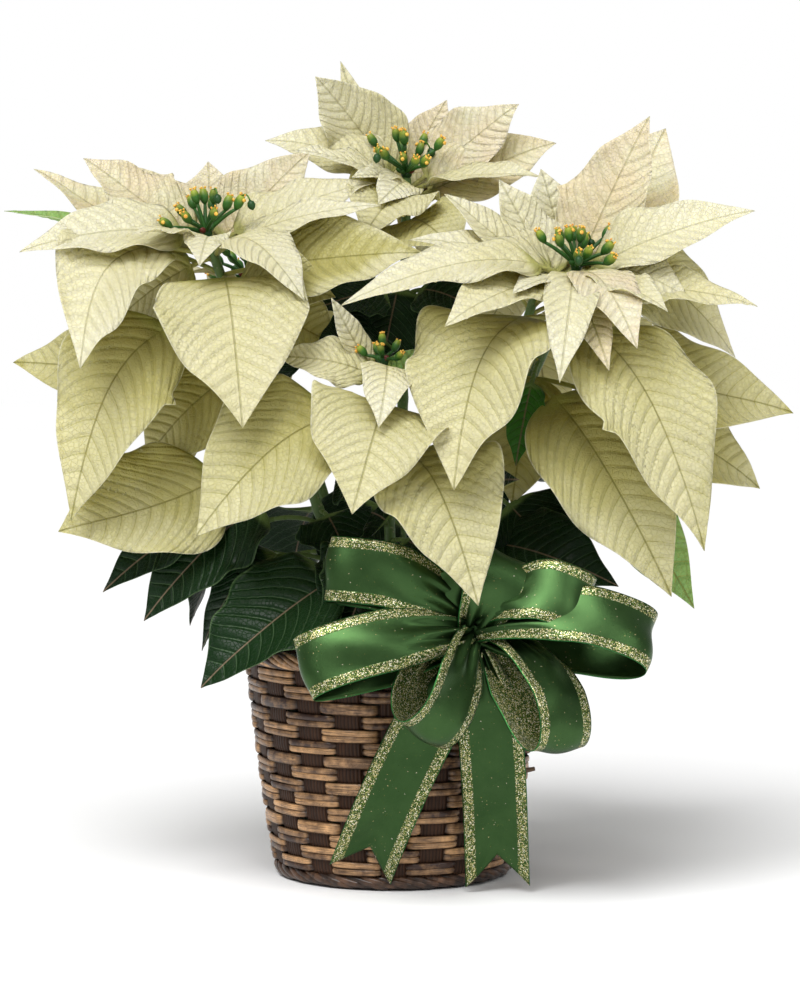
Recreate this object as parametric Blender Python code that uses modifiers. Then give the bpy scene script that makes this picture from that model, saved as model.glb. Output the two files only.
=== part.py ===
"""A potted white poinsettia in a woven basket with a ribbon bow.

Lengths in the tables are millimetres. The object is built in metres, +Z up, with its origin at
the middle of the basket's underside and its front towards -Y.
"""

import math
import random

import bmesh
import bpy
from mathutils import Matrix, Vector

MM = 0.001
GAP = 0.3 * MM  # left between pieces that touch
GOLDEN_ANGLE = math.radians(137.5)
ROUND_STEPS = 28

# Basket
BASKET_HEIGHT = 142 * MM
BASKET_FOOT_RADIUS = 72 * MM
BASKET_RIM_RADIUS = 93 * MM
BASKET_BULGE = 0.75  # below 1 the side swells outwards between foot and rim
WALL_THICKNESS = 6 * MM
WEAVE_DEPTH = 1.3 * MM
STAKES = 24
WEAVE_ROWS = 15
FOOT_HEIGHT = 9 * MM
BORDER_HEIGHT = 11 * MM
BORDER_WIDTH = 11 * MM
BASE_THICKNESS = 5 * MM

# Grow pot and soil
POT_FLOOR = BASE_THICKNESS + GAP
POT_HEIGHT = 114 * MM
POT_FOOT_RADIUS = 54 * MM
POT_TOP_RADIUS = 74 * MM
POT_LIP = 3 * MM
POT_WALL = 2 * MM
SOIL_TOP = 107 * MM
STEM_DEPTH = 28 * MM  # how far each stem reaches into the soil
DRAIN_HOLES = 4
DRAIN_RADIUS = 5 * MM

# Plants
STEM_RADIUS = 4 * MM
HUB_RADIUS = 3.2 * MM
ROOT_OFFSET = 1.6 * MM  # how far off the stem's middle a blade starts
HEAD_CLEARANCE = 4  # bare stem between the uppermost bract and the small flowers
BLADE_THICKNESS = 0.9 * MM
STALK_HALF_WIDTH = 1.7 * MM
LEAF_STALK = 0.26  # share of a green leaf's length that is bare stalk
LEAF_LOBES = 0.05  # how far a green leaf's edge steps in and out, as a share of its half width

# Small flowers: how many, how far they spread and how high they stand over the head's middle.
CUPS = 12
CUP_SPREAD = 26 * MM
CUP_HEIGHT = 28 * MM
CUP_RADIUS = 3.1 * MM
YOUNG_HEAD = "centre"  # the one head whose flowers are still few and small
YOUNG_CUPS = 6
YOUNG_SIZE = 0.6
# Added to the stem's own direction where a head's flowers lean out of line with it.
CLUSTER_LEAN = {"right": (-0.1, -0.3, 0.4), "top": (-0.1, -0.55, 0.3)}

# Ribbon
RIBBON_WIDTH = 38 * MM
RIBBON_THICKNESS = 0.8 * MM
RIBBON_GATHER = 0.34  # share of its width that the ribbon keeps at the knot
KNOT = Vector((47, -104, 152)) * MM
KNOT_RADIUS = 11 * MM
LOOP_LAYER = 4.5 * MM  # neighbouring loops lie this far before and behind the knot
NOTCH_DEPTH = 20 * MM  # of the swallow tail cut in each hanging end

# The stiff wire that holds the bow: from behind the knot over the border and into the soil.
WIRE_RADIUS = 1.2 * MM
WIRE_FOOT = 82 * MM
WIRE_LINE = (
    (47, -92, 152),
    (46, -80, 152),
    (44, -68, 149),
    (41, -58, 141),
    (38, -52, 130),
    (36, -49, 118),
    (36, -49, 82),
)

# Each plant stands at "foot" in the soil and carries its flower head at "top". Its bracts grow
# from the last "hub" millimetres of the stem.
PLANTS = {
    "left": {"foot": (-26, -6), "top": (-112, -12, 388), "hub": 132},
    "top": {"foot": (4, 26), "top": (8, 48, 426), "hub": 60},
    "right": {"foot": (28, -8), "top": (108, -48, 368), "hub": 116},
    "centre": {"foot": (0, -34), "top": (-6, -62, 312), "hub": 66},
    "back_left": {"foot": (-24, 30), "top": (-92, 108, 362), "hub": 90},
    "back_right": {"foot": (30, 24), "top": (98, 112, 380), "hub": 90},
}

# One row a bract: how far below the head it grows, its tip, width, height of its arch, the way
# its upper face looks, the share of its length that is bare stalk, and for some how far the
# midrib bends sideways.
BRACTS = {
    "left": (
        (12, (-183, -85, 313), 72, 16, (-3, -8, 4), 0.16, 34),
        (4, (-224, -30, 381), 46, 12, (-1, -7, 7), 0.14, 4),
        (2, (-154, -60, 391), 26, 5, (-1, -4, 9), 0.14),
        (3, (-114, -66, 372), 28, 10, (0, -8, 6), 0.14),
        (8, (-52, -72, 352), 44, 20, (3, -6, 7), 0.14),
        (26, (-87, -105, 279), 92, 24, (1, -10, 2), 0.12),
        (56, (-191, -66, 222), 74, 22, (-2, -9, 2), 0.2, 30),
        (46, (-238, 40, 313), 58, 8, (-2, -8, 5), 0.2, -26),
        (4, (-224, 50, 434), 38, -12, (2, -6, 7), 0.14),
        (20, (-240, 32, 408), 28, 4, (0, -2, 10), 0.14),
        (2, (-189, 10, 438), 44, -2, (3, -8, 5), 0.14),
        (3, (-116, 58, 438), 50, -16, (0, -8, 6), 0.14),
        (5, (-174, 44, 437), 50, -14, (3, -9, 3), 0.14, 10),
        (3, (-51, 34, 443), 48, -12, (-1, -8, 5), 0.14, -7),
        (3, (-11, 18, 424), 42, 6, (0, -5, 8), 0.14),
        (8, (-8, -24, 409), 30, 8, (0, -5, 9), 0.14),
        (22, (18, -40, 380), 60, 9, (0, -8, 6), 0.14),
        (34, (-35, -34, 353), 54, 14, (4, -8, 3), 0.14),
        (118, (-200, -50, 214), 80, 2, (0, -9, 4), 0.36, -20),
        (84, (-153, 8, 252), 56, 20, (-2, -9, 2), 0.2),
    ),
    "top": (
        (7, (-48, 44, 489), 56, -20, (2, -9, 3), 0.16, 10),
        (14, (-34, 112, 504), 32, -27, (1, -9, 4), 0.14),
        (8, (-80, 60, 451), 42, 10, (0, -7, 7), 0.14, 5),
        (5, (-61, 14, 443), 28, 6, (0, -5, 8), 0.14),
        (5, (34, 96, 478), 34, -14, (0, -9, 3), 0.26, -6),
        (8, (48, 104, 470), 38, -16, (-2, -8, 4), 0.2),
        (3, (77, 40, 472), 48, -10, (-2, -8, 4), 0.14, -5),
        (12, (101, 52, 449), 48, 2, (0, -8, 6), 0.14),
        (7, (91, 14, 427), 30, 6, (0, -3, 9), 0.14),
        (2, (-25, 8, 426), 20, 4, (0, -6, 8), 0.14),
        (3, (-9, -2, 409), 28, 8, (0, -10, 3), 0.14),
        (22, (-18, -18, 389), 60, 16, (-1, -8, 6), 0.14),
        (34, (40, -34, 378), 58, 14, (1, -9, 4), 0.14),
    ),
    "right": (
        (2, (154, -16, 462), 52, -15, (-3, -9, 1), 0.12, -6),
        (5, (168, 34, 458), 68, -12, (-3, -9, 1), 0.14, 2),
        (6, (214, -50, 405), 42, 8, (0, -7, 7), 0.14, -2),
        (10, (158, -112, 346), 34, 10, (5, -7, 3), 0.14),
        (9, (174, -70, 352), 52, 12, (5, -7, 5), 0.14, -8),
        (20, (214, -70, 349), 36, 12, (0, -5, 8), 0.14),
        (22, (206, -30, 317), 56, 18, (4, -9, 3), 0.14, -26),
        (4, (140, -122, 325), 38, 18, (3, -9, 4), 0.14),
        (2, (95, -136, 306), 32, 20, (0, -10, 3), 0.14),
        (9, (124, -118, 312), 26, 12, (1, -10, 3), 0.14),
        (3, (69, -108, 356), 24, 4, (-2, -6, 8), 0.14),
        (16, (30, -126, 338), 48, 14, (-3, -7, 6), 0.14),
        (6, (-30, -92, 350), 42, 22, (-1, -6, 8), 0.14),
        (4, (10, -44, 388), 30, 8, (0, -5, 8), 0.14),
        (3, (31, -36, 415), 32, -6, (0, -6, 8), 0.14),
        (2, (90, 2, 431), 46, -14, (2, -9, 2), 0.14, 5),
        (4, (64, -12, 424), 36, -10, (1, -8, 5), 0.14),
        (32, (34, -134, 245), 92, 30, (-5, -9, 3), 0.14, 9),
        (34, (181, -112, 208), 78, 38, (4, -8, 2), 0.14),
        (74, (163, -92, 179), 78, 30, (1, -9, 3), 0.14),
        (104, (182, -36, 166), 54, 20, (3, -9, 2), 0.2, -8),
        (50, (246, 4, 283), 62, 8, (3, -8, 5), 0.2, 8),
        (72, (228, 20, 235), 60, 22, (3, -8, 3), 0.2),
    ),
    "centre": (
        (8, (-69, -64, 318), 38, 8, (-1, -7, 7), 0.14),
        (4, (-36, -72, 352), 17, -7, (2, -9, 2), 0.14),
        (3, (-8, -118, 279), 32, 16, (1, -10, 2), 0.14),
        (11, (12, -64, 322), 20, -4, (0, -8, 6), 0.2),
        (56, (49, -131, 178), 78, 30, (3, -10, 2), 0.14, -4),
        (26, (-23, -138, 231), 82, 22, (0, -10, 2), 0.12),
        (34, (-115, -94, 215), 90, 24, (-3, -8, 4), 0.2, 10),
    ),
}

# The bracts on the side away from the front: how many, the first one's compass angle in degrees,
# the angle they spread over, and the length of the lowest.
BACK_BRACTS = {
    "top": (4, 50, 90, 106),
    "right": (2, 66, 60, 84),
    "back_left": (12, 62, 216, 125),
    "back_right": (12, -86, 206, 125),
}
# How far below the head the uppermost of them grows.
BACK_CLEARANCE = {"top": 16, "right": 30, "back_left": 8, "back_right": 10}

# One row a green leaf: the height of its joint on the stem, its tip, width, arch and facing.
LEAVES = {
    "left": (
        (236, (-150, -44, 160), 60, 22, (-3, -8, 4)),
        (214, (-128, 30, 150), 60, 24, (-8, 2, 4)),
        (190, (-118, -8, 138), 56, 26, (-8, -3, 4)),
    ),
    "centre": (
        (196, (-113, -93, 126), 72, 14, (-3, -8, 6)),
        (206, (36, -82, 190), 44, 8, (1, -7, 6)),
        (200, (-44, -80, 172), 48, 8, (-1, -7, 6)),
    ),
    "right": (
        (196, (132, -78, 184), 54, 18, (2, -8, 5)),
        (236, (71, -112, 248), 20, 8, (-1, -10, 2)),
        (190, (136, -20, 148), 60, 26, (8, -2, 4)),
        (170, (122, 34, 140), 56, 24, (8, 3, 4)),
    ),
    "top": (
        (310, (-50, -20, 318), 50, 14, (-2, -8, 6)),
        (240, (6, 128, 190), 60, 26, (0, 8, 5)),
    ),
    "back_left": (
        (236, (-150, 96, 176), 62, 26, (-8, 6, 4)),
        (214, (-70, 150, 150), 62, 26, (-3, 9, 4)),
        (190, (-112, 66, 130), 54, 22, (-8, 6, 4)),
    ),
    "back_right": (
        (240, (160, 92, 190), 62, 26, (8, 6, 4)),
        (216, (70, 154, 156), 62, 26, (3, 9, 4)),
        (190, (118, 84, 136), 54, 22, (7, 7, 4)),
    ),
}

# One row a loop of the bow: direction in the front plane in degrees from +X, its lean towards
# the front, length, depth of its opening and the turn of its band round its own axis.
LOOPS = (
    (158, 6, 92, 15, 10),
    (192, 12, 98, 17, -8),
    (122, -4, 48, 14, 0),
    (62, -4, 48, 14, 0),
    (31, 4, 66, 16, -30),
    (1, 2, 100, 18, -22),
    (-39, 18, 88, 17, 26),
    (-110, 26, 66, 15, 0),
)
# One row a tail: its middle line from the knot to the cut end.
TAILS = (
    ((47, -109, 150), (26, -113, 120), (0, -99, 70), (-20, -80, 10)),
    ((49, -109, 148), (57, -109, 116), (60, -90, 66), (62, -76, 4)),
)


def clear_scene():
    for obj in list(bpy.data.objects):
        bpy.data.objects.remove(obj, do_unlink=True)


def new_collection(name):
    collection = bpy.data.collections.new(name)
    bpy.context.scene.collection.children.link(collection)
    return collection


def material(name, colour, roughness, metallic=0.0):
    made = bpy.data.materials.new(name)
    made.use_nodes = True
    shader = made.node_tree.nodes["Principled BSDF"]
    shader.inputs["Base Color"].default_value = (*colour, 1)
    shader.inputs["Roughness"].default_value = roughness
    shader.inputs["Metallic"].default_value = metallic
    return made


def add_object(name, mesh, collection, finish=None):
    obj = bpy.data.objects.new(name, mesh)
    collection.objects.link(obj)
    if finish:
        mesh.materials.append(finish)
    return obj


def mesh_from(bm, name):
    mesh = bpy.data.meshes.new(name)
    bm.to_mesh(mesh)
    bm.free()
    return mesh


def evaluated_mesh(obj):
    """The object's shape with its modifiers, as a new mesh in world space."""
    bpy.context.view_layer.update()
    graph = bpy.context.evaluated_depsgraph_get()
    mesh = bpy.data.meshes.new_from_object(obj.evaluated_get(graph))
    mesh.transform(obj.matrix_world)
    return mesh


def keep_outer_skin(mesh):
    """Fills sealed hollows and drops loose scraps, by keeping the closed skin with most points."""
    bm = bmesh.new()
    bm.from_mesh(mesh)
    unseen = set(bm.verts)
    skins = []
    while unseen:
        found = {unseen.pop()}
        reached = list(found)
        while reached:
            vertex = reached.pop()
            for link in vertex.link_edges:
                other = link.other_vert(vertex)
                if other in unseen:
                    unseen.remove(other)
                    found.add(other)
                    reached.append(other)
        skins.append(found)
    largest = max(skins, key=len)
    for skin in skins:
        if skin is not largest:
            bmesh.ops.delete(bm, geom=list(skin), context="VERTS")
    bm.to_mesh(mesh)
    bm.free()


def fuse(name, pieces, finish, collection):
    """Joins closed pieces that sink into each other in one solid."""
    first, others = pieces[0], pieces[1:]
    operands = new_collection(name + "_pieces")
    for piece in others:
        operands.objects.link(piece)
        shapes.objects.unlink(piece)
    join = first.modifiers.new("join", "BOOLEAN")
    join.operation = "UNION"
    join.operand_type = "COLLECTION"
    join.collection = operands
    join.solver = "MANIFOLD"
    mesh = evaluated_mesh(first)
    for piece in pieces:
        bpy.data.objects.remove(piece, do_unlink=True)
    bpy.data.collections.remove(operands)
    mesh.materials.clear()
    keep_outer_skin(mesh)
    return add_object(name, mesh, collection, finish)


def thickened(obj, thickness):
    """The open sheet given this thickness, half to each side, as a closed mesh in its place."""
    skin = obj.modifiers.new("thickness", "SOLIDIFY")
    skin.thickness = thickness
    skin.offset = 0
    mesh = evaluated_mesh(obj)
    bpy.data.objects.remove(obj, do_unlink=True)
    return add_object(mesh.name, mesh, shapes)


def tube(name, points, radii, sides_level=1):
    """A round tube along the points, as a closed mesh."""
    curve = bpy.data.curves.new(name, "CURVE")
    curve.dimensions = "3D"
    curve.bevel_depth = 1
    curve.bevel_resolution = sides_level
    curve.use_fill_caps = True
    spline = curve.splines.new("POLY")
    spline.points.add(len(points) - 1)
    for point, place, radius in zip(spline.points, points, radii):
        point.co = (*place, 1)
        point.radius = radius
    drawn = bpy.data.objects.new(name + "_curve", curve)
    shapes.objects.link(drawn)
    mesh = evaluated_mesh(drawn)
    bpy.data.objects.remove(drawn, do_unlink=True)
    bm = bmesh.new()
    bm.from_mesh(mesh)
    bmesh.ops.remove_doubles(bm, verts=bm.verts, dist=0.00001)
    bmesh.ops.recalc_face_normals(bm, faces=bm.faces)
    return add_object(name, mesh_from(bm, name), shapes)


def cubic(points, share):
    """The point at this share of a cubic curve with four control points."""
    a, b, c, d = points
    rest = 1 - share
    return a * rest**3 + b * (3 * rest * rest * share) + c * (3 * rest * share**2) + d * share**3


def stem_line(plant):
    """Control points of a stem: upright in the soil, then leaning to its head."""
    foot = Vector((*plant["foot"], SOIL_TOP / MM)) * MM
    top = Vector(plant["top"]) * MM
    reach = (top - foot).length
    return foot, foot + Vector((0, 0, 0.4 * reach)), top - (top - foot) * 0.3, top


def stem_point(plant, drop):
    """The point this far below the flower head, along the stem."""
    line = stem_line(plant)
    return cubic(line, 1 - drop / (line[3] - line[0]).length)


def stem_at_height(plant, height):
    line = stem_line(plant)
    low, high = 0.0, 1.0
    for _ in range(20):
        middle = (low + high) / 2
        if cubic(line, middle).z < height:
            low = middle
        else:
            high = middle
    return cubic(line, low)


def outline_share(along):
    """Half width of a pointed oval blade, as a share of its largest, from stalk to tip."""
    rise, fall = 0.52, 1.02
    peak = rise / (rise + fall)
    return (along**rise * (1 - along) ** fall) / (peak**rise * (1 - peak) ** fall)


# Cross rows of a blade by its size: share of the blade past its stalk, and columns there.
LARGE_GRID = ((0, 1), (0.16, 2), (0.36, 4), (0.58, 4), (0.8, 2), (1, 0))
MEDIUM_GRID = ((0, 1), (0.2, 2), (0.45, 2), (0.74, 2), (1, 0))
SMALL_GRID = ((0, 1), (0.3, 2), (0.64, 2), (1, 0))


def grid_for(width):
    if width >= 55 * MM:
        return LARGE_GRID
    return MEDIUM_GRID if width >= 34 * MM else SMALL_GRID


def blade(root, tip, width, arch, facing, stalk, sway=0.0, lobes=0.0):
    """A leaf or bract: a thin arched blade with a fold along its midrib."""
    outward = Vector((tip.x - root.x, tip.y - root.y, 0)).normalized()
    root = root + outward * ROOT_OFFSET
    line = tip - root
    along = line.normalized()
    normal = (facing - along * facing.dot(along)).normalized()
    side = along.cross(normal)
    stations = [(0, 1)] + [(stalk + (1 - stalk) * share, count) for share, count in grid_for(width)]
    bm = bmesh.new()
    rows = []
    for number, (share, count) in enumerate(stations):
        bend = math.sin(math.pi * share**0.75)
        middle = root + line * share + normal * (arch * bend) + side * (sway * bend)
        if share <= stalk:
            half = STALK_HALF_WIDTH
        else:
            half = width / 2 * outline_share((share - stalk) / (1 - stalk))
        half *= 1 + lobes * (-1) ** number
        row = []
        for column in range(count + 1):
            place = 0 if count == 0 else 2 * column / count - 1
            fold = half * (0.16 * abs(place) - 0.10 * place * place)
            wave = half * 0.06 * math.sin(5 * share + 2 * place) * abs(place)
            row.append((place, bm.verts.new(middle + side * (half * place) + normal * (fold + wave))))
        rows.append(row)
    for lower, upper in zip(rows, rows[1:]):
        i = j = 0
        while i < len(lower) - 1 or j < len(upper) - 1:
            step_low = j == len(upper) - 1 or (
                i < len(lower) - 1 and lower[i + 1][0] <= upper[j + 1][0]
            )
            if step_low:
                bm.faces.new((lower[i][1], lower[i + 1][1], upper[j][1]))
                i += 1
            else:
                bm.faces.new((lower[i][1], upper[j + 1][1], upper[j][1]))
                j += 1
    return thickened(add_object("blade", mesh_from(bm, "blade"), shapes), BLADE_THICKNESS)


def back_bracts(name, plant):
    """Blades round the side of a head that faces away, longer the lower they grow."""
    count, first, spread, longest = BACK_BRACTS[name]
    draw = random.Random(name)
    made = []
    for number in range(count):
        share = (number + 0.5) / count
        angle = math.radians(first + spread * ((number * 0.618) % 1))
        drop = BACK_CLEARANCE[name] * MM + 0.55 * plant["hub"] * MM * share
        root = stem_point(plant, drop)
        length = longest * MM * (0.55 + 0.45 * share)
        lift = math.radians(14 - 52 * share + draw.uniform(-5, 5))
        out = Vector((math.cos(angle), math.sin(angle), 0))
        tip = root + out * (length * math.cos(lift)) + Vector((0, 0, length * math.sin(lift)))
        facing = out * 0.5 + Vector((0, 0, 1))
        width = length * draw.uniform(0.42, 0.52)
        made.append(blade(root, tip, min(width, 54 * MM), length * 0.2, facing, 0.14))
    return made


def bract_head(name, plant):
    """The coloured top of one plant: the end of its stem with all the bracts that grow from it."""
    hub = plant["hub"] * MM
    steps = 5
    points = [stem_point(plant, hub * (1 - step / steps)) for step in range(steps + 1)]
    pieces = [tube("hub", points, [HUB_RADIUS] * len(points))]
    for drop, tip, width, arch, facing, stalk, *sway in BRACTS.get(name, ()):
        root = stem_point(plant, (drop + HEAD_CLEARANCE) * MM)
        swing = sway[0] * MM if sway else 0.0
        size = (width * MM, arch * MM, Vector(facing), stalk)
        pieces.append(blade(root, Vector(tip) * MM, *size, sway=swing))
    if name in BACK_BRACTS:
        pieces += back_bracts(name, plant)
    return fuse("bracts_" + name, pieces, cream, parts)


def leafy_stem(name, plant):
    """The woody stem of one plant with its green leaves."""
    line = stem_line(plant)
    foot = line[0] - Vector((0, 0, STEM_DEPTH - GAP))
    reach = (line[3] - line[0]).length
    end_share = 1 - (plant["hub"] * MM + GAP) / reach
    steps = 6
    points = [foot, line[0]] + [cubic(line, end_share * step / steps) for step in range(1, steps + 1)]
    radii = [STEM_RADIUS] * 2 + [STEM_RADIUS - 0.7 * MM * step / steps for step in range(1, steps + 1)]
    pieces = [tube("stem", points, radii)]
    for height, tip, width, arch, facing in LEAVES.get(name, ()):
        root = stem_at_height(plant, height * MM)
        size = (width * MM, arch * MM, Vector(facing), LEAF_STALK)
        pieces.append(blade(root, Vector(tip) * MM, *size, lobes=LEAF_LOBES))
    return fuse("leafy_stem_" + name, pieces, leaf_green, parts)


def cone(name, start, direction, length, radius_low, radius_high, sides):
    """A tapered round or angular bar that begins at a point."""
    bm = bmesh.new()
    middle = Matrix.Translation(start + direction * (length / 2))
    bmesh.ops.create_cone(
        bm,
        cap_ends=True,
        segments=sides,
        radius1=radius_low,
        radius2=radius_high,
        depth=length,
        matrix=middle @ direction.to_track_quat("Z", "Y").to_matrix().to_4x4(),
    )
    return add_object(name, mesh_from(bm, name), shapes)


def cyathia(name, plant):
    """The small flowers in the middle of a head: cups on short stalks, in a flat dome."""
    line = stem_line(plant)
    axis = (line[3] - line[2]).normalized()
    base = line[3] + axis * GAP
    lean = (axis + Vector(CLUSTER_LEAN.get(name, (0, 0, 0)))).normalized()
    turn = lean.to_track_quat("Z", "Y").to_matrix()
    size = YOUNG_SIZE if name == YOUNG_HEAD else 1
    count = YOUNG_CUPS if name == YOUNG_HEAD else CUPS
    pieces = [cone("receptacle", base, axis, 6 * MM, 3 * MM, 3.6 * MM, 6)]
    root = base + axis * (3 * MM)
    for number in range(count):
        angle = number * GOLDEN_ANGLE
        spread = CUP_SPREAD * size * math.sqrt(number / count)
        height = CUP_HEIGHT * size - 0.35 * spread
        tip = base + turn @ Vector((spread * math.cos(angle), spread * math.sin(angle), height))
        reach = tip - root
        wide = CUP_RADIUS * (0.6 + 0.4 * size)
        pieces.append(cone("cup", root, reach.normalized(), reach.length, 0.9 * MM, wide, 4))
    return fuse("cyathia_" + name, pieces, cyathium_green, parts)


def basket_radius(height):
    """Outer radius of the basket's side at this height."""
    share = max(0.0, min(1.0, height / BASKET_HEIGHT))
    return BASKET_FOOT_RADIUS + (BASKET_RIM_RADIUS - BASKET_FOOT_RADIUS) * share**BASKET_BULGE


def ring_of(bm, radius_at, height, count):
    return [
        bm.verts.new(
            (
                radius_at(2 * math.pi * number / count) * math.cos(2 * math.pi * number / count),
                radius_at(2 * math.pi * number / count) * math.sin(2 * math.pi * number / count),
                height,
            )
        )
        for number in range(count)
    ]


def skin_rings(bm, rings, closed):
    """Joins rings of equal count in turn, and the last to the first where closed."""
    pairs = list(zip(rings, rings[1:]))
    if closed:
        pairs.append((rings[-1], rings[0]))
    for low, high in pairs:
        for number in range(len(low)):
            after = (number + 1) % len(low)
            bm.faces.new((low[number], low[after], high[after], high[number]))


def basket_wall():
    """The woven side: rows that pass by turns over and under the upright stakes."""
    bottom = FOOT_HEIGHT + GAP
    top = BASKET_HEIGHT - BORDER_HEIGHT - GAP
    around = 2 * STAKES
    bm = bmesh.new()
    rings = []
    for row in range(WEAVE_ROWS):
        height = bottom + (top - bottom) * row / (WEAVE_ROWS - 1)
        sign = (-1) ** row

        def radius_at(angle, height=height, sign=sign):
            return basket_radius(height) - WEAVE_DEPTH + sign * WEAVE_DEPTH * math.cos(STAKES * angle / 2)

        rings.append(ring_of(bm, radius_at, height, around))
    for height in (top, bottom):
        rings.append(
            ring_of(bm, lambda angle, height=height: basket_radius(height) - WALL_THICKNESS, height, around)
        )
    skin_rings(bm, rings, closed=True)
    bmesh.ops.recalc_face_normals(bm, faces=bm.faces)
    return add_object("basket_wall", mesh_from(bm, "basket_wall"), parts, cane_brown)


def twisted_ring(name, section, strands, swell, turns_per_side, finish):
    """A closed ring of strands laid at a slant: a section whose edge swells in a moving wave."""
    around = 48
    bm = bmesh.new()
    rings = []
    for radius, height, moves in section:
        phase = turns_per_side * height / (section[0][1] - section[2][1] + 1e-9)

        def radius_at(angle, radius=radius, moves=moves, phase=phase):
            return radius + moves * swell * math.cos(strands * angle + phase)

        rings.append(ring_of(bm, radius_at, height, around))
    skin_rings(bm, rings, closed=True)
    bmesh.ops.recalc_face_normals(bm, faces=bm.faces)
    return add_object(name, mesh_from(bm, name), parts, finish)


def basket_foot():
    outer = BASKET_FOOT_RADIUS
    inner = BASKET_FOOT_RADIUS - WALL_THICKNESS
    section = (
        (outer - 1 * MM, 0, 0),
        (outer + 1 * MM, FOOT_HEIGHT / 2, 1),
        (outer, FOOT_HEIGHT, 0),
        (inner, FOOT_HEIGHT, 0),
        (inner, 0, 0),
    )
    return twisted_ring("basket_foot", section, 24, 0.8 * MM, 1.5, cane_dark)


def basket_border():
    low = BASKET_HEIGHT - BORDER_HEIGHT
    middle = BASKET_RIM_RADIUS - BORDER_WIDTH / 2 + 2 * MM
    section = (
        (middle - 2 * MM, low, 0),
        (middle + 4.5 * MM, low + 3 * MM, 1),
        (middle + 4 * MM, BASKET_HEIGHT - 3 * MM, 1),
        (middle, BASKET_HEIGHT, 0),
        (middle - 5 * MM, BASKET_HEIGHT - 4 * MM, 1),
        (middle - 5 * MM, low, 0),
    )
    return twisted_ring("basket_border", section, 16, 1.1 * MM, 2.0, cane_brown)


def basket_base():
    bm = bmesh.new()
    radius = BASKET_FOOT_RADIUS - WALL_THICKNESS - GAP
    place = Matrix.Translation((0, 0, BASE_THICKNESS / 2))
    bmesh.ops.create_cone(
        bm,
        cap_ends=True,
        segments=ROUND_STEPS,
        radius1=radius,
        radius2=radius,
        depth=BASE_THICKNESS,
        matrix=place,
    )
    return add_object("basket_base", mesh_from(bm, "basket_base"), parts, cane_dark)


def turned(name, profile, finish):
    """A closed profile of (radius, height), outer side downwards, turned about Z."""
    bm = bmesh.new()
    points = [bm.verts.new((radius, 0, height)) for radius, height in profile]
    for number, start in enumerate(points):
        end = points[(number + 1) % len(points)]
        if start.co.x > 0 or end.co.x > 0:
            bm.edges.new((start, end))
    obj = add_object(name, mesh_from(bm, name), parts, finish)
    screw = obj.modifiers.new("turn", "SCREW")
    screw.steps = ROUND_STEPS
    screw.render_steps = ROUND_STEPS
    screw.use_merge_vertices = True
    screw.merge_threshold = 0.00001
    return obj


def cylinder_cutter(name, radius, low, high, x, y):
    bm = bmesh.new()
    place = Matrix.Translation((x, y, (low + high) / 2))
    bmesh.ops.create_cone(
        bm, cap_ends=True, segments=8, radius1=radius, radius2=radius, depth=high - low, matrix=place
    )
    obj = add_object(name, mesh_from(bm, name), cutters)
    obj.hide_render = True
    obj.display_type = "WIRE"
    return obj


def cut(obj, cutter):
    hole = obj.modifiers.new("cut", "BOOLEAN")
    hole.operation = "DIFFERENCE"
    hole.object = cutter
    hole.solver = "EXACT"


def pot_radius(height):
    share = (height - POT_FLOOR) / POT_HEIGHT
    return POT_FOOT_RADIUS + (POT_TOP_RADIUS - POT_FOOT_RADIUS) * share


def grow_pot():
    top = POT_FLOOR + POT_HEIGHT
    lip_low = top - 12 * MM
    profile = (
        (pot_radius(top) + POT_LIP, top),
        (pot_radius(lip_low) + POT_LIP, lip_low),
        (pot_radius(lip_low), lip_low),
        (POT_FOOT_RADIUS, POT_FLOOR),
        (0, POT_FLOOR),
        (0, POT_FLOOR + POT_WALL),
        (pot_radius(POT_FLOOR + POT_WALL) - POT_WALL, POT_FLOOR + POT_WALL),
        (pot_radius(top) - POT_WALL, top),
    )
    obj = turned("grow_pot", profile, pot_green)
    reach = POT_FOOT_RADIUS * 0.62
    for number in range(DRAIN_HOLES):
        angle = 2 * math.pi * number / DRAIN_HOLES
        x, y = reach * math.cos(angle), reach * math.sin(angle)
        cut(obj, cylinder_cutter("drain", DRAIN_RADIUS, POT_FLOOR - 2 * MM, POT_FLOOR + 4 * MM, x, y))
    return obj


def soil():
    low = POT_FLOOR + POT_WALL + GAP
    clear = POT_WALL + GAP
    profile = (
        (0, SOIL_TOP + 1 * MM),
        (pot_radius(SOIL_TOP) * 0.6, SOIL_TOP),
        (pot_radius(SOIL_TOP - 3 * MM) - clear, SOIL_TOP - 3 * MM),
        (pot_radius(low) - clear, low),
        (0, low),
    )
    obj = turned("soil", profile, peat)
    above = SOIL_TOP + 10 * MM
    for plant in PLANTS.values():
        x, y = Vector(plant["foot"]) * MM
        cut(obj, cylinder_cutter("stem_hole", STEM_RADIUS + 2 * GAP, SOIL_TOP - STEM_DEPTH, above, x, y))
    x, y, _ = Vector(WIRE_LINE[-1]) * MM
    cut(obj, cylinder_cutter("wire_hole", WIRE_RADIUS + 2 * GAP, WIRE_FOOT - GAP, above, x, y))
    return obj


def bow_wire():
    points = [Vector(point) * MM for point in WIRE_LINE]
    made = tube("bow_wire", points, [WIRE_RADIUS] * len(points))
    shapes.objects.unlink(made)
    parts.objects.link(made)
    made.data.materials.append(wire_green)
    return made


def ribbon_strip(name, centres, sides):
    """A flat band through the centres, as wide each way as the side vectors, with its thickness."""
    bm = bmesh.new()
    rows = []
    for centre, side in zip(centres, sides):
        rows.append([bm.verts.new(centre - side), bm.verts.new(centre + side)])
    for lower, upper in zip(rows, rows[1:]):
        bm.faces.new((lower[0], lower[1], upper[1]))
        bm.faces.new((lower[0], upper[1], upper[0]))
    return thickened(add_object(name, mesh_from(bm, name), shapes), RIBBON_THICKNESS)


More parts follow.
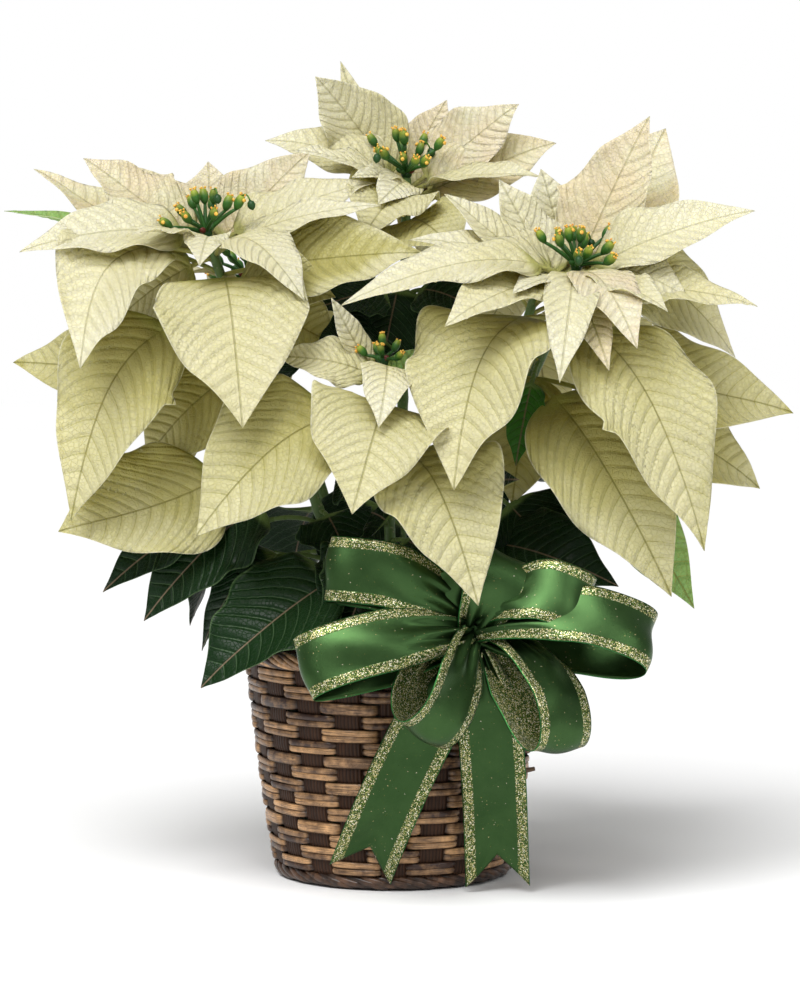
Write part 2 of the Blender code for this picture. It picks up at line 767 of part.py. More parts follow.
def bow_loop(number, angle, lean, length, opening, roll):
    """One teardrop loop of ribbon, gathered to a third of its width at the knot."""
    turn, tip_up = math.radians(angle), math.radians(lean)
    out = Vector((math.cos(turn) * math.cos(tip_up), -math.sin(tip_up), math.sin(turn) * math.cos(tip_up)))
    across = Matrix.Rotation(math.radians(roll), 3, out) @ Vector((-math.sin(turn), 0, math.cos(turn)))
    across = (across - out * across.dot(out)).normalized()
    front = out.cross(across)
    start = KNOT + Vector((0, LOOP_LAYER * (-1) ** number, 0))
    steps = 8
    centres, sides = [], []
    for step in range(steps + 1):
        share = 0.08 + 0.84 * step / steps
        along = length * MM * (1 - math.cos(2 * math.pi * share)) / 2
        swing = opening * MM * math.sin(2 * math.pi * share) * math.sin(math.pi * share) ** 0.5
        centres.append(start + out * along + front * swing)
        gather = min(1.0, RIBBON_GATHER + (1 - RIBBON_GATHER) * min(share, 1 - share) / 0.24)
        sides.append(across * (RIBBON_WIDTH / 2 * gather))
    return ribbon_strip("loop", centres, sides)


def bow_tail(line):
    """A hanging end of the ribbon, cut to a swallow tail."""
    control = [Vector(point) * MM for point in line]
    steps = 7
    centres, sides = [], []
    for step in range(steps + 1):
        share = step / steps
        centres.append(cubic(control, share))
        gather = min(1.0, RIBBON_GATHER + (1 - RIBBON_GATHER) * share / 0.3)
        before, after = cubic(control, max(0, share - 0.05)), cubic(control, min(1, share + 0.05))
        across = (after - before).cross(Vector((0, 1, 0))).normalized()
        sides.append(across * (RIBBON_WIDTH / 2 * gather))
    notch = (centres[-1] - centres[-2]).normalized() * NOTCH_DEPTH
    end = len(centres) - 1
    bm = bmesh.new()
    rows = []
    for number, (centre, side) in enumerate(zip(centres, sides)):
        middle = centre - notch if number == end else centre
        rows.append([bm.verts.new(centre - side), bm.verts.new(middle), bm.verts.new(centre + side)])
    for lower, upper in zip(rows, rows[1:]):
        bm.faces.new((lower[0], lower[1], upper[0]))
        bm.faces.new((lower[1], upper[1], upper[0]))
        bm.faces.new((lower[1], lower[2], upper[2]))
        bm.faces.new((lower[1], upper[2], upper[1]))
    return thickened(add_object("tail", mesh_from(bm, "tail"), shapes), RIBBON_THICKNESS)


def ribbon_bow():
    bm = bmesh.new()
    place = Matrix.Translation(KNOT) @ Matrix.Diagonal((1.1, 0.8, 1, 1))
    bmesh.ops.create_uvsphere(bm, u_segments=10, v_segments=6, radius=KNOT_RADIUS, matrix=place)
    pieces = [add_object("knot", mesh_from(bm, "knot"), shapes)]
    pieces += [bow_loop(number, *row) for number, row in enumerate(LOOPS)]
    pieces += [bow_tail(line) for line in TAILS]
    return fuse("ribbon_bow", pieces, ribbon_green, parts)


clear_scene()
parts = new_collection("poinsettia")
cutters = new_collection("cutters")
shapes = new_collection("shapes")

cream = material("bract_cream", (0.83, 0.78, 0.5), 0.5)
leaf_green = material("leaf_green", (0.02, 0.1, 0.03), 0.35)
cyathium_green = material("cyathium_green", (0.08, 0.2, 0.04), 0.4)
cane_brown = material("cane_brown", (0.3, 0.14, 0.06), 0.35)
cane_dark = material("cane_dark", (0.08, 0.04, 0.025), 0.4)
pot_green = material("pot_green", (0.02, 0.08, 0.03), 0.4)
peat = material("peat", (0.03, 0.018, 0.01), 0.95)
wire_green = material("wire_green", (0.03, 0.12, 0.04), 0.4)
ribbon_green = material("ribbon_green", (0.02, 0.15, 0.05), 0.3)

basket_wall()
basket_foot()
basket_border()
basket_base()
grow_pot()
soil()
for plant_name, plant_row in PLANTS.items():
    leafy_stem(plant_name, plant_row)
    bract_head(plant_name, plant_row)
    cyathia(plant_name, plant_row)
bow_wire()
ribbon_bow()
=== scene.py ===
"""Looks of a white poinsettia in a woven basket with a ribbon bow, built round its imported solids.

Lengths in the tables are millimetres and meshes are metres. The frame has +Z up, its origin under
the middle of the basket and its front towards -Y.
"""

import math
import random

import bmesh
import bpy
import numpy as np
from mathutils import Matrix, Vector, noise
from mathutils.bvhtree import BVHTree


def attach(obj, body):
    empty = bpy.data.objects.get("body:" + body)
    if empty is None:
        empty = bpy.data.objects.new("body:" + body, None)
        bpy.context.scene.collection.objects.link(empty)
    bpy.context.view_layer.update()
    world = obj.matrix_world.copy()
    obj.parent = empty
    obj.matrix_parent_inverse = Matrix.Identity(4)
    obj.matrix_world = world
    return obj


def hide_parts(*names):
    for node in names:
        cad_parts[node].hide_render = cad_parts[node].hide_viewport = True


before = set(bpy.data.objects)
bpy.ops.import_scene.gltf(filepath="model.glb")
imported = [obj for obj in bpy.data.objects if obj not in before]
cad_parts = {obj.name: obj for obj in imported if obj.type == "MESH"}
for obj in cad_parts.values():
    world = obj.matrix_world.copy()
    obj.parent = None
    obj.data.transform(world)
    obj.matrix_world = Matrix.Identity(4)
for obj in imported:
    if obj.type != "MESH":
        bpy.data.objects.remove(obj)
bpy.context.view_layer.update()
MM = 0.001

# The photograph's view: a long lens two metres away and level with the flower heads, so that it
# looks slightly down on the basket.
CAMERA_PLACE = (0.004, -2.0, 0.36)
CAMERA_AIM = (0.004, 0.0, 0.2285)
CAMERA_LENS = 118
CAMERA_SENSOR = 36


def aim(thing, target=(0, 0, 0)):
    """Turns a camera or a lamp towards a point."""
    way = Vector(target) - thing.location
    thing.rotation_euler = way.to_track_quat("-Z", "Y").to_euler()


bpy.ops.object.camera_add(location=CAMERA_PLACE)
camera = bpy.context.object
camera.name = "camera"
camera.data.sensor_width = CAMERA_SENSOR
camera.data.lens = CAMERA_LENS
aim(camera, CAMERA_AIM)
bpy.context.scene.camera = camera


# The studio: a plain pale floor that runs out of sight, a bright even room, soft window light from
# the front left, and three lamps, of which the smallest gives the ribbon and canes their gleam.
class Value:
    """A number or a colour inside a material. Sums on a number add Math nodes."""

    def __init__(self, finish, socket):
        self.finish = finish
        self.socket = socket

    def sum(self, operation, *terms):
        return self.finish.node("ShaderNodeMath", {"operation": operation}, dict(enumerate(terms)))

    def __add__(self, other):
        return self.sum("ADD", self, other)

    __radd__ = __add__

    def __sub__(self, other):
        return self.sum("SUBTRACT", self, other)

    def __rsub__(self, other):
        return self.sum("SUBTRACT", other, self)

    def __mul__(self, other):
        return self.sum("MULTIPLY", self, other)

    __rmul__ = __mul__

    def __truediv__(self, other):
        return self.sum("DIVIDE", self, other)

    def __rtruediv__(self, other):
        return self.sum("DIVIDE", other, self)

    def __abs__(self):
        return self.sum("ABSOLUTE", self)

    def either(self, other):
        """The larger of the two."""
        return self.sum("MAXIMUM", self, other)

    def fraction(self):
        return self.sum("FRACT", self)

    def wave(self):
        return self.sum("SINE", self)

    def between(self, low, high):
        """0 below low, 1 above high and smooth in between; low may be the larger."""
        sockets = {"Value": self, "From Min": low, "From Max": high}
        return self.finish.node("ShaderNodeMapRange", {"interpolation_type": "SMOOTHSTEP"}, sockets)


class Finish:
    """A material under construction: colours laid over each other on one Principled shader."""

    def __init__(self, name, **settings):
        self.material = bpy.data.materials.new(name)
        self.material.use_nodes = True
        self.tree = self.material.node_tree
        self.shader = self.tree.nodes["Principled BSDF"]
        self.colour = None
        self.set(**settings)

    def put(self, socket, value):
        if isinstance(value, Value):
            self.tree.links.new(value.socket, socket)
        elif isinstance(value, tuple) and socket.type == "RGBA":
            socket.default_value = (*value, 1)
        else:
            socket.default_value = value

    def set(self, **values):
        for socket, value in values.items():
            self.put(self.shader.inputs[socket.replace("_", " ")], value)

    def node(self, kind, settings, sockets, out=0):
        made = self.tree.nodes.new(kind)
        for name, value in settings.items():
            if name == "stops":
                while len(made.color_ramp.elements) < len(value):
                    made.color_ramp.elements.new(1)
                for stop, (place, colour) in zip(made.color_ramp.elements, value):
                    stop.position = place
                    stop.color = (*colour, 1)
            else:
                setattr(made, name, value)
        for name, value in sockets.items():
            self.put(made.inputs[name], value)
        return Value(self, made.outputs[out])

    def read(self, name):
        """The number of this name that the piece carries at each of its points."""
        return self.node("ShaderNodeAttribute", {"attribute_name": name}, {}, "Fac")

    def place(self):
        return self.node("ShaderNodeTexCoord", {}, {}, "Object")

    def flat_place(self, x, y):
        return self.node("ShaderNodeCombineXYZ", {}, {0: x, 1: y})

    def parts(self, vector):
        """The three numbers of a vector or a colour."""
        return [self.node("ShaderNodeSeparateXYZ", {}, {0: vector}, axis) for axis in "XYZ"]

    def stretch(self, scale, at=None):
        return self.node("ShaderNodeMapping", {}, {"Vector": at or self.place(), "Scale": scale})

    def noise(self, scale, detail=2.0, roughness=0.5, at=None):
        sockets = {"Vector": at or self.place(), "Scale": scale, "Detail": detail, "Roughness": roughness}
        return self.node("ShaderNodeTexNoise", {}, sockets)

    def cells(self, scale, feature="F1", out="Distance", at=None):
        sockets = {"Vector": at or self.place(), "Scale": scale}
        return self.node("ShaderNodeTexVoronoi", {"feature": feature}, sockets, out)

    def mix(self, share, low, high):
        return self.node("ShaderNodeMix", {"data_type": "RGBA"}, {0: share, 6: low, 7: high}, 2)

    def ramp(self, share, *stops):
        return self.node("ShaderNodeValToRGB", {"stops": stops}, {0: share})

    def paint(self, share, colour, over=None):
        """Lays a share of a colour over what is there, or over the ground that is given."""
        self.colour = self.mix(share, over or self.colour, colour)
        self.set(Base_Color=self.colour)

    def bump(self, height, distance, strength=1.0):
        sockets = {"Height": height, "Distance": distance, "Strength": strength}
        self.set(Normal=self.node("ShaderNodeBump", {}, sockets))


FLOOR_SIZE = 16
bpy.ops.mesh.primitive_plane_add(size=FLOOR_SIZE)
floor = bpy.context.object
floor.name = "floor"
paper = Finish("studio_paper", Roughness=0.9)
paper.paint(paper.noise(3.0), (0.98, 0.98, 0.98), over=(0.95, 0.95, 0.95))
floor.data.materials.append(paper.material)

# The room looks white from the camera, but lights the plant less than the lamps do.
ROOM_SEEN = 1.0
ROOM_LIGHT = 0.36
world = bpy.data.worlds.new("studio")
world.use_nodes = True
room = world.node_tree
seen = room.nodes.new("ShaderNodeLightPath").outputs["Is Camera Ray"]
level = room.nodes.new("ShaderNodeMapRange")
level.inputs["To Min"].default_value = ROOM_LIGHT
level.inputs["To Max"].default_value = ROOM_SEEN
room.links.new(seen, level.inputs["Value"])
room.links.new(level.outputs[0], room.nodes["Background"].inputs["Strength"])
room.nodes["Background"].inputs["Color"].default_value = (1, 1, 1, 1)
bpy.context.scene.world = world
bpy.context.scene.view_settings.view_transform = "Standard"

WINDOW_PLACE = (-0.32, -0.72, 1.3)
WINDOW_POWER = 2.65
WINDOW_ANGLE = math.radians(38)
bpy.ops.object.light_add(type="SUN", location=WINDOW_PLACE)
window = bpy.context.object
window.name = "window_light"
window.data.energy = WINDOW_POWER
window.data.angle = WINDOW_ANGLE
aim(window)

# Each lamp's name, place, size and power.
LAMPS = (
    ("lamp_left", (-0.9, -1.3, 1.3), 0.7, 5),
    ("lamp_right", (1.2, -1.2, 0.9), 0.6, 4),
    ("lamp_gleam", (0.3, -1.8, 1.5), 0.4, 4),
)
PLANT_MIDDLE = (0, 0, 0.25)
for lamp_name, lamp_place, lamp_size, lamp_power in LAMPS:
    bpy.ops.object.light_add(type="AREA", location=lamp_place)
    lamp = bpy.context.object
    lamp.name = lamp_name
    lamp.data.size = lamp_size
    lamp.data.energy = lamp_power
    aim(lamp, PLANT_MIDDLE)


# The basket's side: fifteen rows of tan, slightly flattened canes, mostly in pairs, that pass by
# turns over and under twenty flat dark stakes. It is woven from damp cane, dried, stained and
# varnished.
def full_turn(steps):
    return np.arange(steps) * 2 * math.pi / steps


def turned(angle, out, height):
    """Points at these angles round the basket's middle, this far out and this high."""
    return np.stack(np.broadcast_arrays(out * np.cos(angle), out * np.sin(angle), height), -1)


def unit(vectors, least=0.0):
    """The same directions at length 1; least keeps one of no length from a division by 0."""
    return vectors / (np.linalg.norm(vectors, axis=-1, keepdims=True) + least)


def rod(line, radii, sides, up=(0.0, 0.0, 1.0), closed=False, flat=1.0):
    """A round or flattened rod along a line: its points ring by ring, and its faces."""
    line = np.array([tuple(point) for point in line], float)
    count = len(line)
    ahead = unit(np.roll(line, -1, 0) - np.roll(line, 1, 0) if closed else np.gradient(line, axis=0))
    side = unit(np.cross(ahead, tuple(up)))
    over = np.cross(side, ahead)
    turn = full_turn(sides)[None, :, None]
    ring = flat * np.cos(turn) * side[:, None] + np.sin(turn) * over[:, None]
    points = line[:, None] + np.broadcast_to(radii, count)[:, None, None] * ring
    low = np.arange(count if closed else count - 1)[:, None] * sides + np.arange(sides)[None]
    after = low - low % sides + (low + 1) % sides
    high, high_after = (low + sides) % (count * sides), (after + sides) % (count * sides)
    faces = np.stack([low, after, high_after, high], -1).reshape(-1, 4).tolist()
    if not closed:
        faces.append(list(range(sides))[::-1])
        faces.append(list(range((count - 1) * sides, count * sides)))
    return points.reshape(-1, 3), faces


def slab(upper, lower):
    """A closed skin from two grids of points that lie face to face."""
    rows, columns = upper.shape[:2]
    points = np.concatenate([upper.reshape(-1, 3), lower.reshape(-1, 3)])
    grid = np.arange(rows * columns).reshape(rows, columns)
    quads = np.stack([grid[:-1, :-1], grid[:-1, 1:], grid[1:, 1:], grid[1:, :-1]], -1).reshape(-1, 4)
    edge = np.concatenate([grid[0, :-1], grid[:-1, -1], grid[-1, :0:-1], grid[:0:-1, 0]])
    after = np.roll(edge, -1)
    below = rows * columns
    rim = np.stack([edge, edge + below, after + below, after], -1)
    return points, np.concatenate([quads, quads[:, ::-1] + below, rim]).tolist()


def on_both(values, grid):
    """One number for each point on both faces of a slab, from values that fit its grid."""
    return np.tile(np.broadcast_to(values, grid.shape[:2]).reshape(-1), 2)


class Piece:
    """Closed skins gathered into one mesh, each with its finish and the numbers that it reads."""

    def __init__(self, *numbers):
        self.points = []
        self.faces = []
        self.finishes = []
        self.numbers = {name: [] for name in numbers}
        self.count = 0

    def add(self, skin, finish=0, **numbers):
        points, faces = skin
        for name, gathered in self.numbers.items():
            gathered.append(np.broadcast_to(numbers.get(name, 0.0), len(points)))
        self.faces += [[corner + self.count for corner in face] for face in faces]
        self.finishes += [finish] * len(faces)
        self.points.append(points)
        self.count += len(points)

    def make(self, name, slot, finishes, node):
        """Makes the mesh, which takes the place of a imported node."""
        mesh = bpy.data.meshes.new(name)
        mesh.from_pydata(np.concatenate(self.points).tolist(), [], self.faces)
        mesh.polygons.foreach_set("material_index", self.finishes)
        for number, gathered in self.numbers.items():
            carried = mesh.attributes.new(number, "FLOAT", "POINT")
            carried.data.foreach_set("value", np.concatenate(gathered).astype(np.float32))
        for finish in finishes:
            mesh.materials.append(finish.material)
        solid = bmesh.new()
        solid.from_mesh(mesh)
        bmesh.ops.recalc_face_normals(solid, faces=solid.faces)
        solid.to_mesh(mesh)
        solid.free()
        mesh.shade_smooth()
        made = bpy.data.objects.new(name, mesh)
        bpy.context.scene.collection.objects.link(made)
        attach(made, "root")
        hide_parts(node)
        return made


BASKET_HEIGHT = 142 * MM
BASKET_FOOT_RADIUS = 72 * MM
BASKET_RIM_RADIUS = 93 * MM
BASKET_BULGE = 0.75
STAKES = 20
STAKE_WIDTH = 17 * MM
STAKE_THICKNESS = 1.1 * MM
STAKE_STEPS = 61
STAKE_PULL = 0.45 * MM  # the canes draw each stake in and out by this
STAKE_HOLLOW = 0.5 * MM
WEAVE_ROWS = 15
SINGLE_ROWS = (3, 8, 12)  # rows of one broad cane, where the others have two
WEAVE_LOW = 9.3 * MM
WEAVE_HIGH = 130.7 * MM
WEAVE_SWING = 1.75 * MM  # how far a cane moves out over a stake and in behind it
WEAVE_DEPTH = 3.1 * MM  # from the outermost skin in to the middle of the stakes
WEAVE_STEPS = 288
OVER_SHARE = 0.42  # above 0, so that a cane shows for longer over a stake than it dips under one
OVER_CRISPNESS = 4.0
BAR_DRIFT = 0.5
CANE_WANDER = 0.25 * MM
SINGLE_SIZE = 1.75
SINGLE_FLATNESS = 0.6
CANE_HALF_HEIGHT = 2.1 * MM
CANE_FLATNESS = 0.5
CANE_SIDES = 8
CANE_NUMBERS = ("along", "bar", "proud", "around")


def basket_radius(height):
    share = np.clip(height / BASKET_HEIGHT, 0, 1)
    return BASKET_FOOT_RADIUS + (BASKET_RIM_RADIUS - BASKET_FOOT_RADIUS) * share**BASKET_BULGE


cane_draw = random.Random(11)
weave = Piece(*CANE_NUMBERS)
turn = full_turn(WEAVE_STEPS)
for row in range(WEAVE_ROWS):
    middle = WEAVE_LOW + (WEAVE_HIGH - WEAVE_LOW) * (row + 0.5) / WEAVE_ROWS
    over = np.tanh(OVER_CRISPNESS * ((-1) ** row * np.cos(STAKES * turn / 2) + OVER_SHARE))
    bar = ((STAKES * turn / 2 + math.pi * (row % 2)) / (2 * math.pi) + 0.5) % (STAKES / 2)
    bar = np.floor(bar).astype(int)
    drift = np.array([cane_draw.uniform(-BAR_DRIFT, BAR_DRIFT) for _ in range(STAKES)])[bar]
    drift = np.convolve(np.tile(drift, 3), np.ones(9) / 9, "same")[WEAVE_STEPS : 2 * WEAVE_STEPS]
    single = row in SINGLE_ROWS
    for strand in (0,) if single else (-1, 1):
        tone = np.array([cane_draw.random() for _ in range(STAKES)])[bar]
        wander = cane_draw.uniform(0, 6)
        gap = CANE_HALF_HEIGHT * (0.9 + 0.02 * over)
        height = middle + strand * gap + drift * MM + CANE_WANDER * np.sin(5 * turn + wander)
        line = turned(turn, basket_radius(height) - WEAVE_DEPTH + WEAVE_SWING * over, height)
        size = CANE_HALF_HEIGHT * (0.95 + 0.05 * over) * (SINGLE_SIZE if single else 1)
        flatness = CANE_FLATNESS * (SINGLE_FLATNESS if single else 1)
        weave.add(
            rod(line, size, CANE_SIDES, closed=True, flat=flatness),
            along=np.repeat(turn * 0.09 + cane_draw.uniform(0, 9), CANE_SIDES),
            bar=np.repeat(tone, CANE_SIDES),
            proud=np.repeat(over, CANE_SIDES),
            around=np.tile(np.abs(np.arange(CANE_SIDES) / CANE_SIDES - 0.5), WEAVE_STEPS),
        )

# One cane end has worked loose on the right. Its points are angle, radius and height.
LOOSE_END = ((-0.62, 79, 66), (-0.5, 82, 66.5), (-0.42, 87, 67), (-0.38, 92, 68))
LOOSE_RADII = (1.6 * MM, 1.7 * MM, 1.7 * MM, 1.3 * MM)
loose_line = [(math.cos(a) * r * MM, math.sin(a) * r * MM, z * MM) for a, r, z in LOOSE_END]
weave.add(rod(loose_line, LOOSE_RADII, 7, flat=0.7), bar=0.8, proud=1, along=2)

height = np.linspace(WEAVE_LOW - 1 * MM, WEAVE_HIGH + 2 * MM, STAKE_STEPS)[:, None]
row_place = (height - WEAVE_LOW) / (WEAVE_HIGH - WEAVE_LOW) * WEAVE_ROWS - 0.5
across = np.linspace(-1, 1, 7)
for number in range(STAKES):
    pull = STAKE_PULL * np.cos(math.pi * row_place) * (-1) ** number
    angle = 2 * math.pi * number / STAKES + cane_draw.uniform(-0.008, 0.008)
    radius = basket_radius(height) - WEAVE_DEPTH - pull
    uneven = 1 + 0.03 * np.sin(height * 90 + number)
    half = STAKE_WIDTH / 2 * (0.9 + 0.1 * height / BASKET_HEIGHT) * uneven
    hollow = STAKE_HOLLOW * across**2
    angles = angle + half * across / radius
    skins = [turned(angles, radius + thick * STAKE_THICKNESS - hollow, height) for thick in (0.5, -0.5)]
    weave.add(
        slab(*skins),
        finish=1,
        bar=cane_draw.random(),
        around=on_both(across, skins[0]),
        along=on_both(height, skins[0]),
    )


def cane_colours(name, dark, light, streak):
    """Varnished cane: a tone for each visible bar and streaks along it. Painted shade darkens its edges
    where canes meet, and painted shade with some dirt darkens it where it dips in behind a stake.
    """
    finish = Finish(name, Coat_Weight=0.3, Coat_Roughness=0.16, Specular_IOR_Level=0.3)
    around = finish.read("around")
    grain_place = finish.flat_place(finish.read("along"), around * 0.02)
    streaks = finish.noise(1.0, 4, 0.6, finish.stretch((60, 2600, 1), grain_place))
    mottle = finish.noise(160.0, 3, 0.6)
    pits = finish.cells(420.0).between(0.22, 0.1) * mottle.between(0.5, 0.65)
    finish.paint(finish.read("bar") * 0.85 - 0.08 + (mottle - 0.45) * 1.7, light, over=dark)
    finish.paint(streaks.between(0.45, 0.6) * 0.8, streak)
    finish.paint(pits * 0.7, (0.03, 0.014, 0.008))
    # Painted shade along the top and bottom edges, where canes meet.
    finish.paint(around.between(0.4, 0.27) * 0.8, (0.018, 0.007, 0.003))
    # Painted shade, with some dirt, where the cane dips in behind a stake.
    finish.paint(finish.read("proud").between(0.55, -0.35) * 0.93, (0.02, 0.009, 0.005))
    finish.set(Roughness=mottle * 0.25 + 0.3)
    finish.bump(streaks + mottle * 0.5 - pits, 0.25 * MM, 0.8)
    return finish


cane_tan = cane_colours("varnished_cane", (0.040, 0.014, 0.006), (0.74, 0.42, 0.19), (0.024, 0.010, 0.006))
stake = Finish("dark_stake", Specular_IOR_Level=0.15)
ribs = (stake.read("around") * 22.0).wave()
stake_mottle = stake.noise(260.0, 3, 0.6, stake.stretch((1, 1, 0.25)))
stake.paint(stake_mottle, (0.080, 0.036, 0.018), over=(0.010, 0.005, 0.003))
stake.paint(ribs.between(0.2, 1.0) * 0.6, (0.008, 0.004, 0.003))
stake.set(Roughness=stake_mottle * 0.2 + 0.4)
stake.bump(stake_mottle * 0.6 - ribs * 0.5, 0.35 * MM)
weave.make("basket_weave", "cane_brown", [cane_tan, stake], "basket_wall")


# The border and the foot ring: long cane ends twisted round each other into a rope. The border is
# tan like the side. The foot is smaller, stained dark, and stands on the table.
ROPE_STEPS = 432
STRAND_SIDES = 7


def rope(radius, height, half_out, half_up, strands, turns, size):
    """Strands that wind round a circle, each a closed cane. Sizes are in millimetres."""
    piece = Piece(*CANE_NUMBERS)
    angle = full_turn(ROPE_STEPS)
    for strand in range(strands):
        roll = 2 * math.pi * strand / strands - turns * angle + 0.12 * np.sin(7 * angle + strand)
        out = radius * MM + half_out * MM * np.cos(roll)
        line = turned(angle, out, height * MM + half_up * MM * np.sin(roll))
        swell = 1 + 0.1 * np.sin(9 * angle + 2 * strand) + 0.05 * np.sin(23 * angle + strand)
        piece.add(
            rod(line, size * MM * swell, STRAND_SIDES, closed=True, flat=0.85),
            along=np.repeat(angle * 0.09 + strand, STRAND_SIDES),
            bar=np.repeat(0.5 + 0.5 * np.sin(turns * angle / 2 + 2.4 * strand), STRAND_SIDES),
            # Painted shade: each strand darkens where it turns in and down between the others.
            proud=np.repeat(np.cos(roll - 0.5) * 0.9 + 0.25, STRAND_SIDES),
            around=0.5,
        )
    return piece


border = rope(radius=89.3, height=136.4, half_out=3.2, half_up=3.3, strands=8, turns=8, size=2.0)
border.make("basket_border_rope", "cane_brown", [cane_tan], "basket_border")
cane_dark = cane_colours("dark_cane", (0.022, 0.010, 0.006), (0.17, 0.085, 0.045), (0.010, 0.005, 0.003))
foot_ring = rope(radius=69.7, height=5.1, half_out=1.9, half_up=2.1, strands=5, turns=9, size=2.2)
foot_ring.make("basket_foot_rope", "cane_dark", [cane_dark], "basket_foot")

# The base: rings of dark cane that pass over and under the spokes that the stakes grow from, laid
# flat inside the foot ring. It is seen only from below.
BASE_RINGS = 13
BASE_SPOKES = 12
BASE_HEIGHT = 2.9 * MM
BASE_SWING = 0.8 * MM
FIRST_RING = 4.5 * MM
RING_SPACING = 4.85 * MM
BASE_SIDES = 6
SPOKE_REACH = 65.5 * MM
SPOKE_STEPS = 30
SPOKE_RADIUS = 2.0 * MM
base_weave = Piece(*CANE_NUMBERS)
for ring in range(BASE_RINGS):
    angle = full_turn(48 + 12 * ring)
    over = np.tanh(2.0 * np.cos(BASE_SPOKES * angle) * (-1) ** ring)
    line = turned(angle, FIRST_RING + RING_SPACING * ring, BASE_HEIGHT + BASE_SWING * over)
    size, flatness = (1.6 * MM, 1.5) if ring else (2.35 * MM, 1.0)
    base_weave.add(
        rod(line, size, BASE_SIDES, closed=True, flat=flatness),
        along=np.repeat(angle * 0.06 + ring, BASE_SIDES),
        bar=np.repeat(0.5 + 0.5 * np.sin(6 * angle + ring), BASE_SIDES),
        proud=np.repeat(1 - np.abs(over) * 0.2, BASE_SIDES),
    )
reach = np.linspace(-SPOKE_REACH, SPOKE_REACH, SPOKE_STEPS)
for number in range(BASE_SPOKES):
    line = turned(math.pi * number / BASE_SPOKES, reach, BASE_HEIGHT)
    spoke = rod(line, SPOKE_RADIUS, BASE_SIDES)
    base_weave.add(spoke, bar=0.2, proud=1, along=np.repeat(reach, BASE_SIDES))
base_weave.make("basket_base_weave", "cane_dark", [cane_dark], "basket_base")


# The grow pot is thin moulded plastic with a rolled lip and drain holes. It keeps its imported
# solid. Peat fills it to below the lip: crumbs and a few grains of perlite on a settled bed.
def dress(node, finish):
    """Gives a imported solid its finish."""
    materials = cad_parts[node].data.materials
    materials.clear()
    materials.append(finish.material)


plastic = Finish("pot_plastic", Specular_IOR_Level=0.4)
pot_grain = plastic.noise(900.0, 2)
pot_stain = plastic.noise(30.0, 4, 0.65).between(0.45, 0.75)
plastic.paint(pot_stain * 0.5, (0.05, 0.06, 0.035), over=(0.012, 0.05, 0.02))
plastic.set(Roughness=pot_grain * 0.15 + 0.35)
plastic.bump(pot_grain, 0.08 * MM)
dress("grow_pot", plastic)

SOIL_TOP = 107 * MM
SOIL_BOTTOM = 8.2 * MM
SOIL_RADIUS = 70.2 * MM
SOIL_FOOT_RADIUS = 53.0 * MM
SOIL_RINGS = 22
SOIL_STEPS = 72
CRUMBS = 420
CRUMB_REACH = 66 * MM
CRUMB_SIZES = (0.7, 2.4)
PERLITE_EVERY = 13
bed = np.zeros((SOIL_RINGS, SOIL_STEPS + 1, 3))
for ring, share in enumerate(np.linspace(0.01, 1, SOIL_RINGS)):
    for step in range(SOIL_STEPS + 1):
        reach, angle = share * SOIL_RADIUS, step * 2 * math.pi / SOIL_STEPS
        x, y = reach * math.cos(angle), reach * math.sin(angle)
        rough = noise.noise(Vector((x, y, 0.3)) * 90) * 1.6 + noise.noise(Vector((x, y, 0.7)) * 300) * 0.9
        bed[ring, step] = (x, y, SOIL_TOP - 1.2 * MM - 2.4 * MM * (reach / SOIL_RADIUS) ** 3 + rough * MM)
bed_bottom = bed.copy()
bed_bottom[..., :2] *= SOIL_FOOT_RADIUS / SOIL_RADIUS
bed_bottom[..., 2] = SOIL_BOTTOM
soil_piece = Piece("grain")
soil_piece.add(slab(bed, bed_bottom))
crumb = bmesh.new()
bmesh.ops.create_icosphere(crumb, subdivisions=1, radius=1)
crumb_points = np.array([vertex.co for vertex in crumb.verts])
crumb_faces = [[vertex.index for vertex in face.verts] for face in crumb.faces]
crumb.free()
crumb_draw = random.Random(5)
for number in range(CRUMBS):
    reach = CRUMB_REACH * math.sqrt(crumb_draw.random())
    angle = crumb_draw.uniform(0, 2 * math.pi)
    size = crumb_draw.uniform(*CRUMB_SIZES) * MM
    rough = np.array([[crumb_draw.uniform(0.65, 1.2)] for _ in crumb_points])
    shape = crumb_points * rough @ np.diag([1, crumb_draw.uniform(0.6, 1), crumb_draw.uniform(0.5, 0.9)])
    place = turned(angle, reach, SOIL_TOP - 2.0 * MM * (reach / SOIL_RADIUS) ** 3 - 0.6 * MM)
    white = number % PERLITE_EVERY == 0
    soil_piece.add((place + shape * size * (0.6 if white else 1), crumb_faces), grain=float(white))
peat = Finish("peat", Roughness=0.95)
peat_lumps = peat.noise(420.0, 5, 0.7)
peat_fibres = peat.noise(700.0, 3, 0.6, peat.stretch((1, 4, 2)))
peat.paint(peat_lumps.between(0.3, 0.7), (0.075, 0.042, 0.022), over=(0.012, 0.007, 0.004))
peat.paint(peat_fibres.between(0.62, 0.75) * 0.5, (0.16, 0.095, 0.05))
peat.paint(peat.read("grain"), (0.6, 0.57, 0.5))
peat.bump(peat_lumps + peat_fibres * 0.5, 0.8 * MM)
soil_piece.make("soil_bed", "peat", [peat], "soil")


